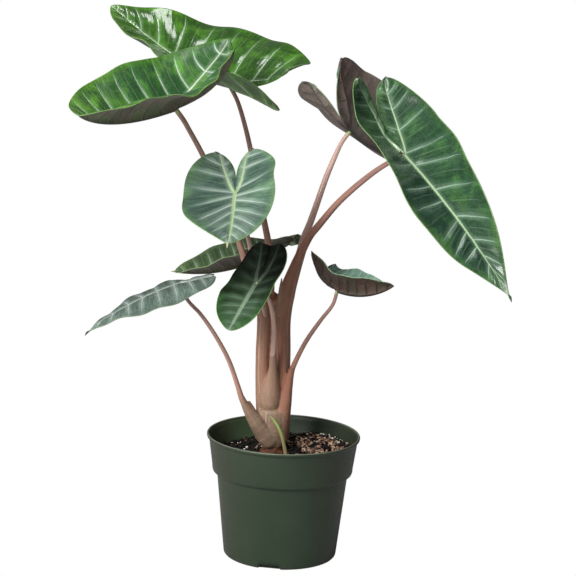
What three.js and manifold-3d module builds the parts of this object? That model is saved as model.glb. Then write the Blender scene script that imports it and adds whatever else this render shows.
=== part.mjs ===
// Potted pink dragon alocasia: nine leaves on long stalks that clasp one trunk, in a plastic grow pot.
// Millimetres, +Z up, -Y is the front. The origin is the middle of the pot's flat base.
import * as THREE from "three";
import { mergeVertices } from "three/addons/utils/BufferGeometryUtils.js";
import Module from "manifold-3d";

const wasm = await Module();
wasm.setup();

// Driving sizes
const GAP = 0.3; // left between pieces that touch
const POT_HEIGHT = 133.5;
const RIM_RADIUS = 82.5;
const BAND_TOP_RADIUS = 80.2;
const BAND_FOOT_RADIUS = 75.8;
const BODY_TOP_RADIUS = 70.6;
const BASE_RADIUS = 61;
const WALL = 1.7;
const FLOOR = 2.2;
const BAND_FOOT_HEIGHT = 98.5; // where the band's rounded edge ends
const SHOULDER_HEIGHT = 91.5; // where the body meets the band
const LIP_HEIGHT = 127.5;
const POT_SEGMENTS = 40;

const SLOTS = 3; // drain slots round the bottom edge
const SLOT_WIDTH = 24;
const SLOT_HEIGHT = 4.5;
const SLOT_DEPTH = 12;
const FIRST_SLOT = -100; // degrees, a little left of the front

const SOIL_LEVEL = 110;
const SOIL_RINGS = [74.9, 63, 51, 39, 27, 14]; // radii of the rings on its top
const HEAP = { x: 38, y: 26, height: 8.5, spread: 34 }; // raised mix at the back right

const CORM = { at: [-11, 0, 104], radii: [17, 15, 20] };

const BLADE_THICKNESS = 1;
const RIB_DEPTH = 1.5; // how far the midrib stands out below
const SHARPEST_MITRE = 0.6;
const COLUMNS = [0, 0.08, 0.38, 0.7, 1]; // shares of the half width, the first pair holds the midrib
const VEIN_SLANT = 0.55; // how far a side vein leans to the tip, in half widths
const VEIN_BOW = 1.5; // above 1 a vein turns to the tip near the margin
const LOBE_BLUNTNESS = 2.6; // powers that round the outline of a back lobe
const LOBE_ROUNDNESS = 0.62;
const NOTCH_ROUNDNESS = 0.6;
const SHOULDER_SWELL = 0.06; // widening just in front of the stalk
const TIP_SLIMMING = 0.18;
const TIP_FLATTENING = 0.6; // how much of the fold is gone at the tip
const WAVED_SHARE = 0.35; // margins narrower than this share of the half width have less wave
const STALK_SIDES = 8;
const SHEATH_SIDES = 11;

// Leaves. "heading", "pitch" and "roll" turn the blade about its stalk's end. "length" runs from there to
// the tip, "lobe" back to the end of the two lobes, and "half" is half the width. The pairs are [right,
// left], seen from the stalk towards the tip with the top face up: "fold" lifts a half, "curl" bends it
// from the midrib to the margin, "lift" raises a back lobe and "lobeFold" folds it. "droop", "twist" and
// "sweep" bend the midrib. "lobeX" is where a lobe ends, as a share of the half width, and "taper" and
// "tip" shape the outline towards the tip. The notch between the lobes starts at "sinus" of their length
// and opens with the power "notch". "veins" are the side veins of a half, "lobeRows" the rows of a lobe,
// and "quilt" is the rise between veins. "waves" of the height "wave" run along the margins, starting at
// "phase". The stalk's "route" starts inside the trunk and goes on to "at", and "radii" has its radius at
// each of these points.
const LEAVES = [
  {
    name: "upper_back", at: [-71, 80, 497], heading: 129, pitch: 9, roll: -48,
    length: 200, lobe: 81, half: 83, fold: [6, 49], curl: [-40, 33], lift: [31, -38], lobeFold: [0, 71],
    droop: -36, twist: 20, sweep: 6, lobeX: 0.74, taper: 1.2, tip: 0.71, sinus: 0.14, notch: 0.9,
    veins: 8, lobeRows: 8, quilt: 2.2, waves: 3.5, wave: [4.8, 3.8], phase: [0.39, 0.17],
    route: [[-20, 3, 262], [-19, 6, 289], [-20, 8, 319], [-24, 11, 342], [-29, 15, 363], [-36, 25, 393],
      [-46, 41, 434], [-52, 51, 455], [-62, 69, 482]],
    radii: [4, 3.9, 3.7, 3.5, 3.3, 3.1, 2.7, 2.5, 2.3, 2.3],
  },
  {
    name: "upper_left", at: [-121, -52, 484], heading: -145, pitch: -16, roll: -26,
    length: 155, lobe: 97, half: 65, fold: [21, 69], curl: [8, -44], lift: [36, 55], lobeFold: [-7, 79],
    droop: -50, twist: 22, sweep: -23, lobeX: 0.5, taper: 1.79, tip: 0.63, sinus: 0.37, notch: 1.7,
    veins: 8, lobeRows: 8, quilt: 2, waves: 5, wave: [1.7, 2.9], phase: [0.35, 0.53],
    route: [[-27, -1, 262], [-37, -2, 290], [-47, -4, 320], [-52, -5, 336], [-74, -7, 391], [-94, -15, 433],
      [-108, -33, 461], [-114, -44, 473]],
    radii: [4, 3.9, 3.6, 3.5, 3, 2.8, 2.6, 2.6, 2.6],
  },
  {
    name: "front_heart", at: [-58, -62, 401], heading: -91, pitch: -32, roll: 6,
    length: 91, lobe: 53, half: 52, fold: [0, 28], curl: [2, 20], lift: [27, 31], lobeFold: [9, 13],
    droop: -15, twist: -19, sweep: 1, lobeX: 0.46, taper: 1.66, tip: 0.84, sinus: 0.37, notch: 2.6,
    veins: 6, lobeRows: 8, quilt: 1.6, waves: 3.5, wave: [0.9, 1.4], phase: [0.45, 0.91],
    route: [[-24, -4, 262], [-30, -6, 291], [-37, -10, 318], [-42, -18, 339], [-47, -34, 362],
      [-53, -50, 385]],
    radii: [2.9, 2.8, 2.6, 2.4, 2.3, 2.2, 2.1],
  },
  {
    name: "middle_back", at: [-39, 58, 311], heading: 179, pitch: -26, roll: -5,
    length: 89, lobe: 53, half: 41, fold: [47, 39], curl: [-31, -13], lift: [4, -14], lobeFold: [13, 17],
    droop: -30, twist: -3, sweep: 8, lobeX: 0.51, taper: 1.66, tip: 0.61, sinus: 0.33, notch: 3,
    veins: 5, lobeRows: 6, quilt: 1.3, waves: 3.5, wave: [2.8, 2.8], phase: [0.87, 0.23],
    route: [[-18, 8, 250], [-21, 19, 277], [-29, 38, 298]],
    radii: [3.2, 2.9, 2.6, 2.3],
  },
  {
    name: "front_hanging", at: [-33, -62, 309], heading: -126, pitch: -43, roll: 6,
    length: 65, lobe: 46, half: 36, fold: [6, 9], curl: [-4, 18], lift: [26, 54], lobeFold: [1, 3],
    droop: -7, twist: -13, sweep: -9, lobeX: 0.37, taper: 1.4, tip: 0.56, sinus: 0.33, notch: 1.8,
    veins: 5, lobeRows: 6, quilt: 1.3, waves: 3.5, wave: [2.7, 0], phase: [0.08, 0.52],
    route: [[-14, -15.8, 218], [-14, -18, 227], [-14, -25, 252], [-16, -31, 271], [-20, -40, 287],
      [-26, -50, 299]],
    radii: [3.3, 2.9, 2.5, 2.3, 2.2, 2.1, 2.1],
  },
  {
    name: "lower_left", at: [-113, -45, 303], heading: -172, pitch: -19, roll: 12,
    length: 109, lobe: 36, half: 38, fold: [17, -13], curl: [-19, -29], lift: [8, 2], lobeFold: [-14, -11],
    droop: 20, twist: -4, sweep: 0, lobeX: 0.52, taper: 1.27, tip: 0.98, sinus: 0.33, notch: 1.7,
    veins: 6, lobeRows: 6, quilt: 1.3, waves: 3.5, wave: [1.8, 1.5], phase: [0.07, 0.67],
    route: [[-42, -14.6, 167], [-45.5, -16.2, 174], [-51, -20, 191], [-61, -26, 219], [-76, -32, 247],
      [-91, -37, 269], [-105, -42, 285]],
    radii: [3.6, 3.2, 2.6, 2.4, 2.2, 2, 1.9, 1.8],
  },
  {
    name: "lower_right", at: [51, -25, 297], heading: -31, pitch: -12, roll: -26,
    length: 69, lobe: 43, half: 30, fold: [32, 70], curl: [-21, 11], lift: [18, 49], lobeFold: [51, 39],
    droop: -42, twist: -9, sweep: 22, lobeX: 0.92, taper: 1.47, tip: 0.51, sinus: 0.33, notch: 1.8,
    veins: 5, lobeRows: 6, quilt: 1.2, waves: 3.5, wave: [0.6, 0.5], phase: [0.53, 0.71],
    route: [[3, -5, 186], [6, -8, 204], [11, -13, 219], [21, -17, 241], [35, -21, 264], [47, -24, 282]],
    radii: [3.4, 3, 2.6, 2.4, 2.1, 1.9, 1.9],
  },
  {
    name: "turned_away", at: [59, 45, 457], heading: 68, pitch: -23, roll: -16,
    length: 171, lobe: 81, half: 64, fold: [36, 45], curl: [20, 4], lift: [35, 66], lobeFold: [64, 37],
    droop: 2, twist: -8, sweep: 27, lobeX: 0.7, taper: 1.21, tip: 0.94, sinus: 0.37, notch: 1.8,
    veins: 8, lobeRows: 8, quilt: 2, waves: 3.5, wave: [2.9, 3.5], phase: [0.5, 0.79],
    route: [[8, 5, 322], [14, 12, 345], [20, 18, 360], [25, 23, 375], [36, 33, 409], [43, 38, 427],
      [51, 42, 445]],
    radii: [5, 4.6, 4.2, 3.7, 3.2, 2.8, 2.3, 2.3],
  },
  {
    name: "large_right", at: [111, -75, 448], heading: -51, pitch: -30, roll: 0,
    length: 200, lobe: 95, half: 52, fold: [6, 47], curl: [30, 50], lift: [56, 27], lobeFold: [5, 3],
    droop: 12, twist: 44, sweep: 1, lobeX: 0.47, taper: 1.47, tip: 1.06, sinus: 0.37, notch: 2.4,
    veins: 8, lobeRows: 8, quilt: 2, waves: 5, wave: [1.4, 1.5], phase: [0.75, 0.05],
    route: [[9, 0, 322], [15, -7, 340], [21, -12, 353], [28, -18, 363], [48, -32, 391], [72, -48, 417],
      [92, -62, 435]],
    radii: [5.4, 5, 4.6, 4.1, 3.4, 3, 2.6, 2.4],
  },
];

// Clasping bases of the stalks, which together are the trunk
const SHEATHS = [
  { route: [[-19, 2, 112], [-19, 2, 140], [-22, 1, 174], [-25, 0, 214], [-25, 0, 257], [-27, 0, 284]],
    radii: [9.5, 9.5, 9, 7.4, 7.2, 7] },
  { route: [[-4, 3, 112], [-4, 3, 170], [-4, 2, 221], [-5, 2, 258], [-2, 2, 285], [6, 2, 315], [12, 2, 334]],
    radii: [9.5, 9.2, 8.8, 8.8, 9.6, 7.6, 6.4] },
  { route: [[-11, 6, 112], [-13, 7, 200], [-16, 6, 284]], radii: [12, 11, 9] },
  { route: [[-15, -2, 164], [-16, -4.5, 171], [-15.5, -7, 181], [-14.5, -9.5, 194], [-14, -13, 208],
      [-14, -16.5, 222]],
    radii: [11, 12, 10.6, 7, 4.6, 3.5] },
  { route: [[-3, -3, 112], [-2, -4, 155], [0.5, -5.5, 172], [3, -6.5, 186], [5.5, -8.5, 202]],
    radii: [10, 9, 7.2, 5, 3.6] },
  { route: [[-16, -4, 116], [-19, -5, 134], [-29, -9.5, 147], [-38, -12.5, 160], [-43.5, -15.2, 170]],
    radii: [11.5, 12, 9, 5.6, 3.7] },
  { route: [[-9, -3, 262], [-9, -4, 291], [-8, -5, 305]], radii: [4, 2, 0.8] },
  { route: [[-33, -10, 148], [-36, -12, 160], [-39, -12, 173]], radii: [6, 4, 1] },
];

const SPROUT = {
  route: [[4, -31, 100], [3, -32, 119], [0, -32, 133], [-3, -31, 143], [-9, -29, 153], [-15, -27, 160]],
  radii: [2.4, 2.2, 2, 1.8, 1.4, 0.5],
};

const radians = THREE.MathUtils.degToRad;
const smooth = (share) => THREE.MathUtils.smoothstep(share, 0, 1);

function material(color, roughness) {
  return new THREE.MeshStandardMaterial({ color, roughness, metalness: 0, side: THREE.DoubleSide });
}

const MATERIALS = {
  plastic: material(0x42523e, 0.45),
  mix: material(0x241d18, 0.95),
  corm: material(0x7a4a2c, 0.85),
  sheath: material(0x94705f, 0.6),
  stalk: material(0x8f6a5c, 0.5),
  blade: material(0x3c6b3d, 0.4),
  sprout: material(0x8aa850, 0.5),
};

// Closed and merged meshes

function merged(geometry) {
  const bare = geometry.index ? geometry.clone() : mergeVertices(geometry);
  bare.deleteAttribute("normal");
  bare.deleteAttribute("uv");
  const result = mergeVertices(bare, 1e-4);
  const kept = [];
  const index = result.index.array;
  for (let i = 0; i < index.length; i += 3) {
    const [a, b, c] = index.slice(i, i + 3);
    if (a !== b && b !== c && c !== a) kept.push(a, b, c);
  }
  result.setIndex(kept);
  return result;
}

function signedVolume(geometry) {
  const { position } = geometry.attributes;
  const [a, b, c] = [0, 1, 2].map(() => new THREE.Vector3());
  const index = geometry.index.array;
  let volume = 0;
  for (let i = 0; i < index.length; i += 3) {
    a.fromBufferAttribute(position, index[i]);
    b.fromBufferAttribute(position, index[i + 1]);
    c.fromBufferAttribute(position, index[i + 2]);
    volume += a.dot(b.cross(c)) / 6;
  }
  return volume;
}

function facingOut(geometry) {
  const result = merged(geometry);
  if (signedVolume(result) < 0) {
    const index = result.index.array;
    for (let i = 0; i < index.length; i += 3) [index[i + 1], index[i + 2]] = [index[i + 2], index[i + 1]];
  }
  return result;
}

function toSolid(geometry) {
  const body = facingOut(geometry);
  const vertProperties = new Float32Array(body.attributes.position.array);
  const triVerts = new Uint32Array(body.index.array);
  return new wasm.Manifold(new wasm.Mesh({ numProp: 3, vertProperties, triVerts }));
}

function toGeometry(solid) {
  const mesh = solid.getMesh();
  const geometry = new THREE.BufferGeometry();
  geometry.setAttribute("position", new THREE.BufferAttribute(new Float32Array(mesh.vertProperties), 3));
  geometry.setIndex([...mesh.triVerts]);
  return geometry;
}

function largest(solid) {
  return solid.decompose().sort((one, other) => other.volume() - one.volume())[0];
}

// Pot, mix and corm

function turned(path, divisions) {
  const lathe = new THREE.LatheGeometry(path.getPoints(divisions), POT_SEGMENTS);
  return lathe.rotateX(Math.PI / 2);
}

function potShell() {
  const path = new THREE.Path();
  path.moveTo(0, 0);
  path.lineTo(BASE_RADIUS - 3, 0);
  path.quadraticCurveTo(BASE_RADIUS, 0, BASE_RADIUS, 3);
  path.lineTo(BODY_TOP_RADIUS, SHOULDER_HEIGHT);
  path.quadraticCurveTo(BAND_FOOT_RADIUS - 0.6, SHOULDER_HEIGHT + 0.5, BAND_FOOT_RADIUS, BAND_FOOT_HEIGHT);
  path.lineTo(BAND_TOP_RADIUS, LIP_HEIGHT);
  path.quadraticCurveTo(RIM_RADIUS, LIP_HEIGHT + 1, RIM_RADIUS, POT_HEIGHT - 2);
  path.quadraticCurveTo(RIM_RADIUS, POT_HEIGHT, RIM_RADIUS - 2, POT_HEIGHT);
  path.lineTo(BAND_TOP_RADIUS - WALL + 0.5, POT_HEIGHT - 3);
  path.lineTo(BAND_TOP_RADIUS - WALL, LIP_HEIGHT);
  path.lineTo(BAND_FOOT_RADIUS - WALL, BAND_FOOT_HEIGHT);
  path.lineTo(BODY_TOP_RADIUS - WALL, SHOULDER_HEIGHT + 2);
  path.lineTo(BASE_RADIUS - WALL, FLOOR + 3);
  path.lineTo(BASE_RADIUS - WALL - 2, FLOOR);
  path.lineTo(0, FLOOR);
  return turned(path, 3);
}

function pot() {
  let shell = toSolid(potShell());
  for (let i = 0; i < SLOTS; i++) {
    const slot = new THREE.BoxGeometry(SLOT_DEPTH, SLOT_WIDTH, 2 * SLOT_HEIGHT);
    slot.translate(BASE_RADIUS, 0, 0);
    slot.rotateZ(radians(FIRST_SLOT + (360 * i) / SLOTS));
    shell = shell.subtract(toSolid(slot));
  }
  return toGeometry(shell);
}

function soilHeight(x, y) {
  const heap = HEAP.height * Math.exp(-((x - HEAP.x) ** 2 + (y - HEAP.y) ** 2) / (2 * HEAP.spread ** 2));
  const lumps = Math.sin(x * 0.17 + 1) * Math.sin(y * 0.21) + 0.6 * Math.sin(x * 0.31 + y * 0.27);
  return SOIL_LEVEL + heap + lumps;
}

function pottingMix() {
  const path = new THREE.Path();
  const inset = WALL + 1.4 * GAP;
  path.moveTo(0, FLOOR + GAP);
  path.lineTo(BASE_RADIUS - inset - 2, FLOOR + GAP);
  path.lineTo(BASE_RADIUS - inset, FLOOR + GAP + 3);
  path.lineTo(BODY_TOP_RADIUS - inset, SHOULDER_HEIGHT + 2.5);
  path.lineTo(BAND_FOOT_RADIUS - inset, BAND_FOOT_HEIGHT + 0.4);
  for (const ring of SOIL_RINGS) path.lineTo(ring, SOIL_LEVEL);
  path.lineTo(0, SOIL_LEVEL);
  const geometry = turned(path, 1);
  const { position } = geometry.attributes;
  for (let i = 0; i < position.count; i++) {
    if (position.getZ(i) < SOIL_LEVEL - 1) continue;
    position.setZ(i, soilHeight(position.getX(i), position.getY(i)));
  }
  return geometry;
}

function corm(grown = 0) {
  const geometry = new THREE.SphereGeometry(1, 16, 10);
  geometry.rotateX(Math.PI / 2);
  geometry.scale(...CORM.radii.map((radius) => radius + grown));
  return geometry.translate(...CORM.at);
}

// Stalks: a closed cylinder bent along a curve, with a radius at each of its points

function stalk({ route, radii, sides = STALK_SIDES }, grown = 0) {
  const steps = route.length > 5 ? 1 : 2;
  const points = route.map((point) => new THREE.Vector3(...point));
  const curve = new THREE.CatmullRomCurve3(points, false, "centripetal");
  const stretches = route.length - 1;
  const geometry = new THREE.CylinderGeometry(1, 1, 1, sides, stretches * steps);
  const { position } = geometry.attributes;
  const front = new THREE.Vector3(0, -1, 0);
  for (let i = 0; i < position.count; i++) {
    const along = position.getY(i) + 0.5;
    const first = Math.min(stretches - 1, Math.floor(along * stretches));
    const radius = THREE.MathUtils.lerp(radii[first], radii[first + 1], along * stretches - first) + grown;
    const tangent = curve.getTangent(along);
    const across = new THREE.Vector3().crossVectors(front, tangent).normalize();
    const forward = new THREE.Vector3().crossVectors(tangent, across);
    const point = curve.getPoint(along);
    point.addScaledVector(across, position.getX(i) * radius);
    point.addScaledVector(forward, position.getZ(i) * radius);
    position.setXYZ(i, point.x, point.y, point.z);
  }
  return geometry;
}

function trunkSolid(grown = 0) {
  const sheaths = SHEATHS.map((sheath) => toSolid(stalk({ ...sheath, sides: SHEATH_SIDES }, grown)));
  return wasm.Manifold.union(sheaths);
}

// Blades

function bladeFrame(leaf) {
  const [heading, pitch, roll] = [leaf.heading, leaf.pitch, leaf.roll].map(radians);
  const toTip = new THREE.Vector3(
    Math.cos(pitch) * Math.cos(heading), Math.cos(pitch) * Math.sin(heading), Math.sin(pitch));
  const level = new THREE.Vector3().crossVectors(toTip, new THREE.Vector3(0, 0, 1)).normalize();
  const up = new THREE.Vector3().crossVectors(level, toTip).multiplyScalar(Math.cos(roll));
  up.addScaledVector(level, Math.sin(roll));
  const right = new THREE.Vector3().crossVectors(toTip, up);
  return { toTip, up, right };
}

// Distance from the midrib's line to the outer margin, "y" along the midrib from the stalk's end
function outerEdge(leaf, y) {
  const lobeTip = leaf.lobeX * leaf.half;
  if (y < 0) {
    const share = -y / leaf.lobe;
    return lobeTip + (leaf.half - lobeTip) * Math.max(0, 1 - share ** LOBE_BLUNTNESS) ** LOBE_ROUNDNESS;
  }
  const share = y / leaf.length;
  const arch = Math.max(0, Math.cos((Math.PI / 2) * share ** leaf.taper)) ** leaf.tip;
  const shoulder = 1 + SHOULDER_SWELL * Math.sin(Math.PI * Math.min(1, 2.5 * share));
  return leaf.half * arch * (1 - TIP_SLIMMING * share ** 5) * shoulder;
}

// Share of the lobes' length that is still joined, to a whole row
function notchStart(leaf) {
  return Math.round(leaf.sinus * leaf.lobeRows) / leaf.lobeRows;
}

// Distance from the midrib's line to the edge of the notch between the back lobes
function innerEdge(leaf, y) {
  const start = notchStart(leaf);
  const share = (-y / leaf.lobe - start) / (1 - start);
  if (share <= 0) return 0;
  return leaf.lobeX * leaf.half * (1 - Math.max(0, 1 - share ** leaf.notch) ** NOTCH_ROUNDNESS);
}

// Run and rise of an arc that starts at the angle "turn" and bends evenly
function arc(bend, length, turn = 0) {
  const end = turn + bend * length;
  if (Math.abs(bend) < 1e-9) return { along: length * Math.cos(turn), rise: length * Math.sin(turn), end };
  const along = (Math.sin(end) - Math.sin(turn)) / bend;
  const rise = (Math.cos(turn) - Math.cos(end)) / bend;
  return { along, rise, end };
}

// The line through the back lobes: one arc where they are joined, and one for each past the notch's end
function lobeArc(leaf, run, side) {
  const joinedRun = notchStart(leaf) * leaf.lobe;
  const joinedBend = radians((leaf.lift[0] + leaf.lift[1]) / 2) / leaf.lobe;
  const shared = arc(joinedBend, Math.min(run, joinedRun));
  if (run <= joinedRun) return shared;
  const ownBend = (radians(leaf.lift[side]) - joinedBend * joinedRun) / (leaf.lobe - joinedRun);
  const own = arc(ownBend, run - joinedRun, shared.end);
  return { along: shared.along + own.along, rise: shared.rise + own.rise, end: own.end };
}

// Point and directions on the midrib's line, where "side" is 0 on the right and 1 on the left
function spine(leaf, frame, y, side) {
  const back = y < 0;
  const { along, rise, end } = back ? lobeArc(leaf, -y, side) : arc(-radians(leaf.droop) / leaf.length, y);
  const turn = back ? -end : end;
  const share = back ? 0 : y / leaf.length;
  const aside = 0.5 * leaf.length * Math.tan(radians(leaf.sweep)) * share ** 2;
  const point = new THREE.Vector3(...leaf.at);
  point.addScaledVector(frame.toTip, back ? -along : along);
  point.addScaledVector(frame.up, rise).addScaledVector(frame.right, aside);
  const level = frame.up.clone().multiplyScalar(Math.cos(turn)).addScaledVector(frame.toTip, -Math.sin(turn));
  const twist = radians(leaf.twist) * share;
  const right = frame.right.clone().multiplyScalar(Math.cos(twist)).addScaledVector(level, -Math.sin(twist));
  const up = level.multiplyScalar(Math.cos(twist)).addScaledVector(frame.right, Math.sin(twist));
  return { point, up, right };
}

// Inner and outer end of a row, which follows a side vein or runs midway between two
function rowEnds(leaf, row) {
  const frontRows = 2 * leaf.veins;
  const slant = VEIN_SLANT * leaf.half;
  if (row <= frontRows) {
    const share = 1 - row / frontRows;
    const lean = slant * Math.min(1, 2.2 * (1 - share)) * (1 - 0.3 * share);
    return [leaf.length * share, Math.min(leaf.length, leaf.length * share + lean)];
  }
  const share = (row - frontRows) / leaf.lobeRows;
  return [-leaf.lobe * share, -leaf.lobe * share + slant * (1 - share) ** 1.6];
}

function bladePoint(leaf, frame, row, column, side) {
  const hand = side ? -1 : 1;
  const across = COLUMNS[column];
  const [innerY, outerY] = rowEnds(leaf, row);
  const y = innerY + (outerY - innerY) * across ** VEIN_BOW;
  const width = outerEdge(leaf, y);
  const x = (innerY < 0 ? innerEdge(leaf, innerY) : 0) * (1 - across) + width * across;
  const { point, up, right } = spine(leaf, frame, y, side);
  const lobeShare = Math.max(0, -y / leaf.lobe);
  const flatter = 1 - TIP_FLATTENING * Math.max(0, y / leaf.length) ** 3;
  const fold = leaf.fold[side] * flatter + (leaf.lobeFold[side] - leaf.fold[side]) * smooth(1.2 * lobeShare);
  const angle = radians(fold + (0.5 * leaf.curl[side] * x) / leaf.half);
  const out = right.clone().multiplyScalar(hand * Math.cos(angle)).addScaledVector(up, Math.sin(angle));
  const normal = up.clone().multiplyScalar(Math.cos(angle)).addScaledVector(right, -hand * Math.sin(angle));
  const cycle = (leaf.waves * (y + leaf.lobe)) / (leaf.length + leaf.lobe) + leaf.phase[side];
  const fade = Math.min(1, width / (WAVED_SHARE * leaf.half));
  const wave = leaf.wave[side] * Math.min(1, x / Math.max(width, 1e-6)) ** 2 * Math.sin(2 * Math.PI * cycle);
  const bulge = row % 2 ? leaf.quilt * Math.sin(Math.PI * Math.min(1, across * 1.1)) : 0;
  return point.addScaledVector(out, x).addScaledVector(normal, (wave + bulge) * fade);
}

function halfBlade(leaf, frame, side) {
  const rows = 2 * leaf.veins + leaf.lobeRows;
  const columns = COLUMNS.length - 1;
  const geometry = new THREE.PlaneGeometry(1, 1, columns, rows);
  const { position } = geometry.attributes;
  for (let i = 0; i < position.count; i++) {
    const column = i % (columns + 1);
    const row = Math.floor(i / (columns + 1));
    position.setXYZ(i, ...bladePoint(leaf, frame, row, column, side).toArray());
  }
  if (!side) return geometry;
  const index = geometry.index.array;
  for (let i = 0; i < index.length; i += 3) [index[i + 1], index[i + 2]] = [index[i + 2], index[i + 1]];
  return geometry;
}

function joined(geometries) {
  const positions = geometries.flatMap((geometry) => [...geometry.attributes.position.array]);
  const index = [];
  let first = 0;
  for (const geometry of geometries) {
    index.push(...[...geometry.index.array].map((vertex) => vertex + first));
    first += geometry.attributes.position.count;
  }
  const result = new THREE.BufferGeometry();
  result.setAttribute("position", new THREE.Float32BufferAttribute(positions, 3));
  result.setIndex(index);
  return merged(result);
}

// Normals with a length that keeps the sheet's thickness across a fold
function mitres(sheet) {
  sheet.computeVertexNormals();
  const { position, normal } = sheet.attributes;
  const totals = new Float32Array(position.count);
  const counts = new Float32Array(position.count);
  const corner = () => new THREE.Vector3();
  const [a, b, c, face, vertex] = [corner(), corner(), corner(), corner(), corner()];
  const index = sheet.index.array;
  for (let i = 0; i < index.length; i += 3) {
    a.fromBufferAttribute(position, index[i]);
    b.fromBufferAttribute(position, index[i + 1]);
    c.fromBufferAttribute(position, index[i + 2]);
    face.crossVectors(b.sub(a), c.sub(a)).normalize();
    for (const k of index.slice(i, i + 3)) {
      totals[k] += face.dot(vertex.fromBufferAttribute(normal, k));
      counts[k] += 1;
    }
  }
  return Array.from(totals, (total, i) => {
    const stretch = 1 / Math.max(SHARPEST_MITRE, total / counts[i]);
    return new THREE.Vector3().fromBufferAttribute(normal, i).multiplyScalar(stretch);
  });
}

// A sheet made solid: both faces have the same triangles, joined round the rim
function thickened(sheet, above, below) {
  const normals = mitres(sheet);
  const { position } = sheet.attributes;
  const { count } = position;
  const points = [];
  for (const [face, depth] of [above, below].entries()) {
    for (let i = 0; i < count; i++) {
      const point = new THREE.Vector3().fromBufferAttribute(position, i);
      point.addScaledVector(normals[i], (face ? -1 : 1) * depth(i));
      points.push(...point.toArray());
    }
  }
  const index = [];
  const edges = new Map();
  const triangles = sheet.index.array;
  for (let i = 0; i < triangles.length; i += 3) {
    const [a, b, c] = triangles.slice(i, i + 3);
    index.push(a, b, c, a + count, c + count, b + count);
    for (const [from, to] of [[a, b], [b, c], [c, a]]) {
      if (!edges.delete(`${to} ${from}`)) edges.set(`${from} ${to}`, [from, to]);
    }
  }
  for (const [from, to] of edges.values()) {
    index.push(from, from + count, to + count, from, to + count, to);
  }
  const result = new THREE.BufferGeometry();
  result.setAttribute("position", new THREE.Float32BufferAttribute(points, 3));
  result.setIndex(index);
  return result;
}

function blade(leaf, grown = 0) {
  const frame = bladeFrame(leaf);
  const sheet = joined([halfBlade(leaf, frame, 0), halfBlade(leaf, frame, 1)]);
  const half = BLADE_THICKNESS / 2 + grown;
  const onMidrib = new Map();
  for (let row = 0; row <= 2 * leaf.veins; row++) {
    const [y] = rowEnds(leaf, row);
    const { point } = spine(leaf, frame, y, 0);
    onMidrib.set(point.toArray().map((value) => value.toFixed(2)).join(), 1 - y / leaf.length);
  }
  const { position } = sheet.attributes;
  const ribDepth = (i) => {
    const place = [position.getX(i), position.getY(i), position.getZ(i)];
    const key = place.map((value) => value.toFixed(2)).join();
    return half + RIB_DEPTH * Math.sqrt(onMidrib.get(key) ?? 0);
  };
  return thickened(sheet, () => half, ribDepth);
}

// The whole plant

const group = new THREE.Group();

function add(name, geometry, finish) {
  const body = facingOut(geometry);
  body.computeVertexNormals();
  const mesh = new THREE.Mesh(body, finish);
  mesh.name = name;
  group.add(mesh);
}

const grownTrunk = trunkSolid(GAP);
const grownCorm = toSolid(corm(GAP));
const sprout = stalk({ ...SPROUT, sides: 6 });
const grownSprout = toSolid(stalk({ ...SPROUT, sides: 6 }, GAP));
const trunk = largest(trunkSolid().subtract(grownCorm));
const stalks = LEAVES.map((leaf) => {
  const { up } = bladeFrame(leaf);
  const end = new THREE.Vector3(...leaf.at).addScaledVector(up, RIB_DEPTH);
  const whole = toSolid(stalk({ route: [...leaf.route, end.toArray()], radii: leaf.radii }));
  const cuts = [toSolid(blade(leaf, GAP)), toSolid(blade(leaf)), grownTrunk];
  return largest(cuts.reduce((body, cut) => body.subtract(cut), whole));
});
const holes = [grownTrunk, grownCorm, grownSprout];
const mix = holes.reduce((body, hole) => body.subtract(hole), toSolid(pottingMix()));

add("pot", pot(), MATERIALS.plastic);
add("potting_mix", toGeometry(largest(mix)), MATERIALS.mix);
add("corm", corm(), MATERIALS.corm);
add("trunk", toGeometry(trunk), MATERIALS.sheath);
add("sprout", sprout, MATERIALS.sprout);
for (const [i, leaf] of LEAVES.entries()) {
  add(`petiole_${leaf.name}`, toGeometry(stalks[i]), MATERIALS.stalk);
  add(`blade_${leaf.name}`, blade(leaf), MATERIALS.blade);
}

export default group;
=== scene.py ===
"""Looks of a potted pink dragon alocasia: quilted leaves, stalks, mix, pot and a plain studio."""
import math
import random

import bmesh
import bpy
from bpy.props import FloatProperty, FloatVectorProperty, IntProperty, PointerProperty
from mathutils import Matrix, Vector, kdtree, noise


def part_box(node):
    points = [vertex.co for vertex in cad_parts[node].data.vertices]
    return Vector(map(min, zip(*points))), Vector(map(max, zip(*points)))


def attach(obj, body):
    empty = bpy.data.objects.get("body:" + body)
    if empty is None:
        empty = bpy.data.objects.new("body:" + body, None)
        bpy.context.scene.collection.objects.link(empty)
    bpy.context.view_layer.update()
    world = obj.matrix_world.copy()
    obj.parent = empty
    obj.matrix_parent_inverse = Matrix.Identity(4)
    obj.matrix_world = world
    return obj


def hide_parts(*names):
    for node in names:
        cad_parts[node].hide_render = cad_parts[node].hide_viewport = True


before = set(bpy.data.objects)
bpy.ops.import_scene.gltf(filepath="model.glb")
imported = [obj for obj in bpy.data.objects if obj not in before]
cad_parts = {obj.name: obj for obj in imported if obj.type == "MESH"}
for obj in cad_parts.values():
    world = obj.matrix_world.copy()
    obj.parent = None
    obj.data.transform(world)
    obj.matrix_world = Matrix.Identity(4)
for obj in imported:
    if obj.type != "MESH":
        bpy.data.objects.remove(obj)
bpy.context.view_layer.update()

bl_info = {
    "name": "Potted Alocasia",
    "version": (1, 0, 0),
    "blender": (4, 5, 0),
    "location": "3D View > Sidebar > Alocasia",
    "description": "Builds a potted alocasia piece by piece around its measured frame",
    "category": "Add Mesh",
}

MM = 0.001
WELD = 1e-6  # points closer than this become one, in metres
BLADE_WELD = 1e-5
TAU = 2 * math.pi
SIDES = (0, 1)  # right and left half of a blade

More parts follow.
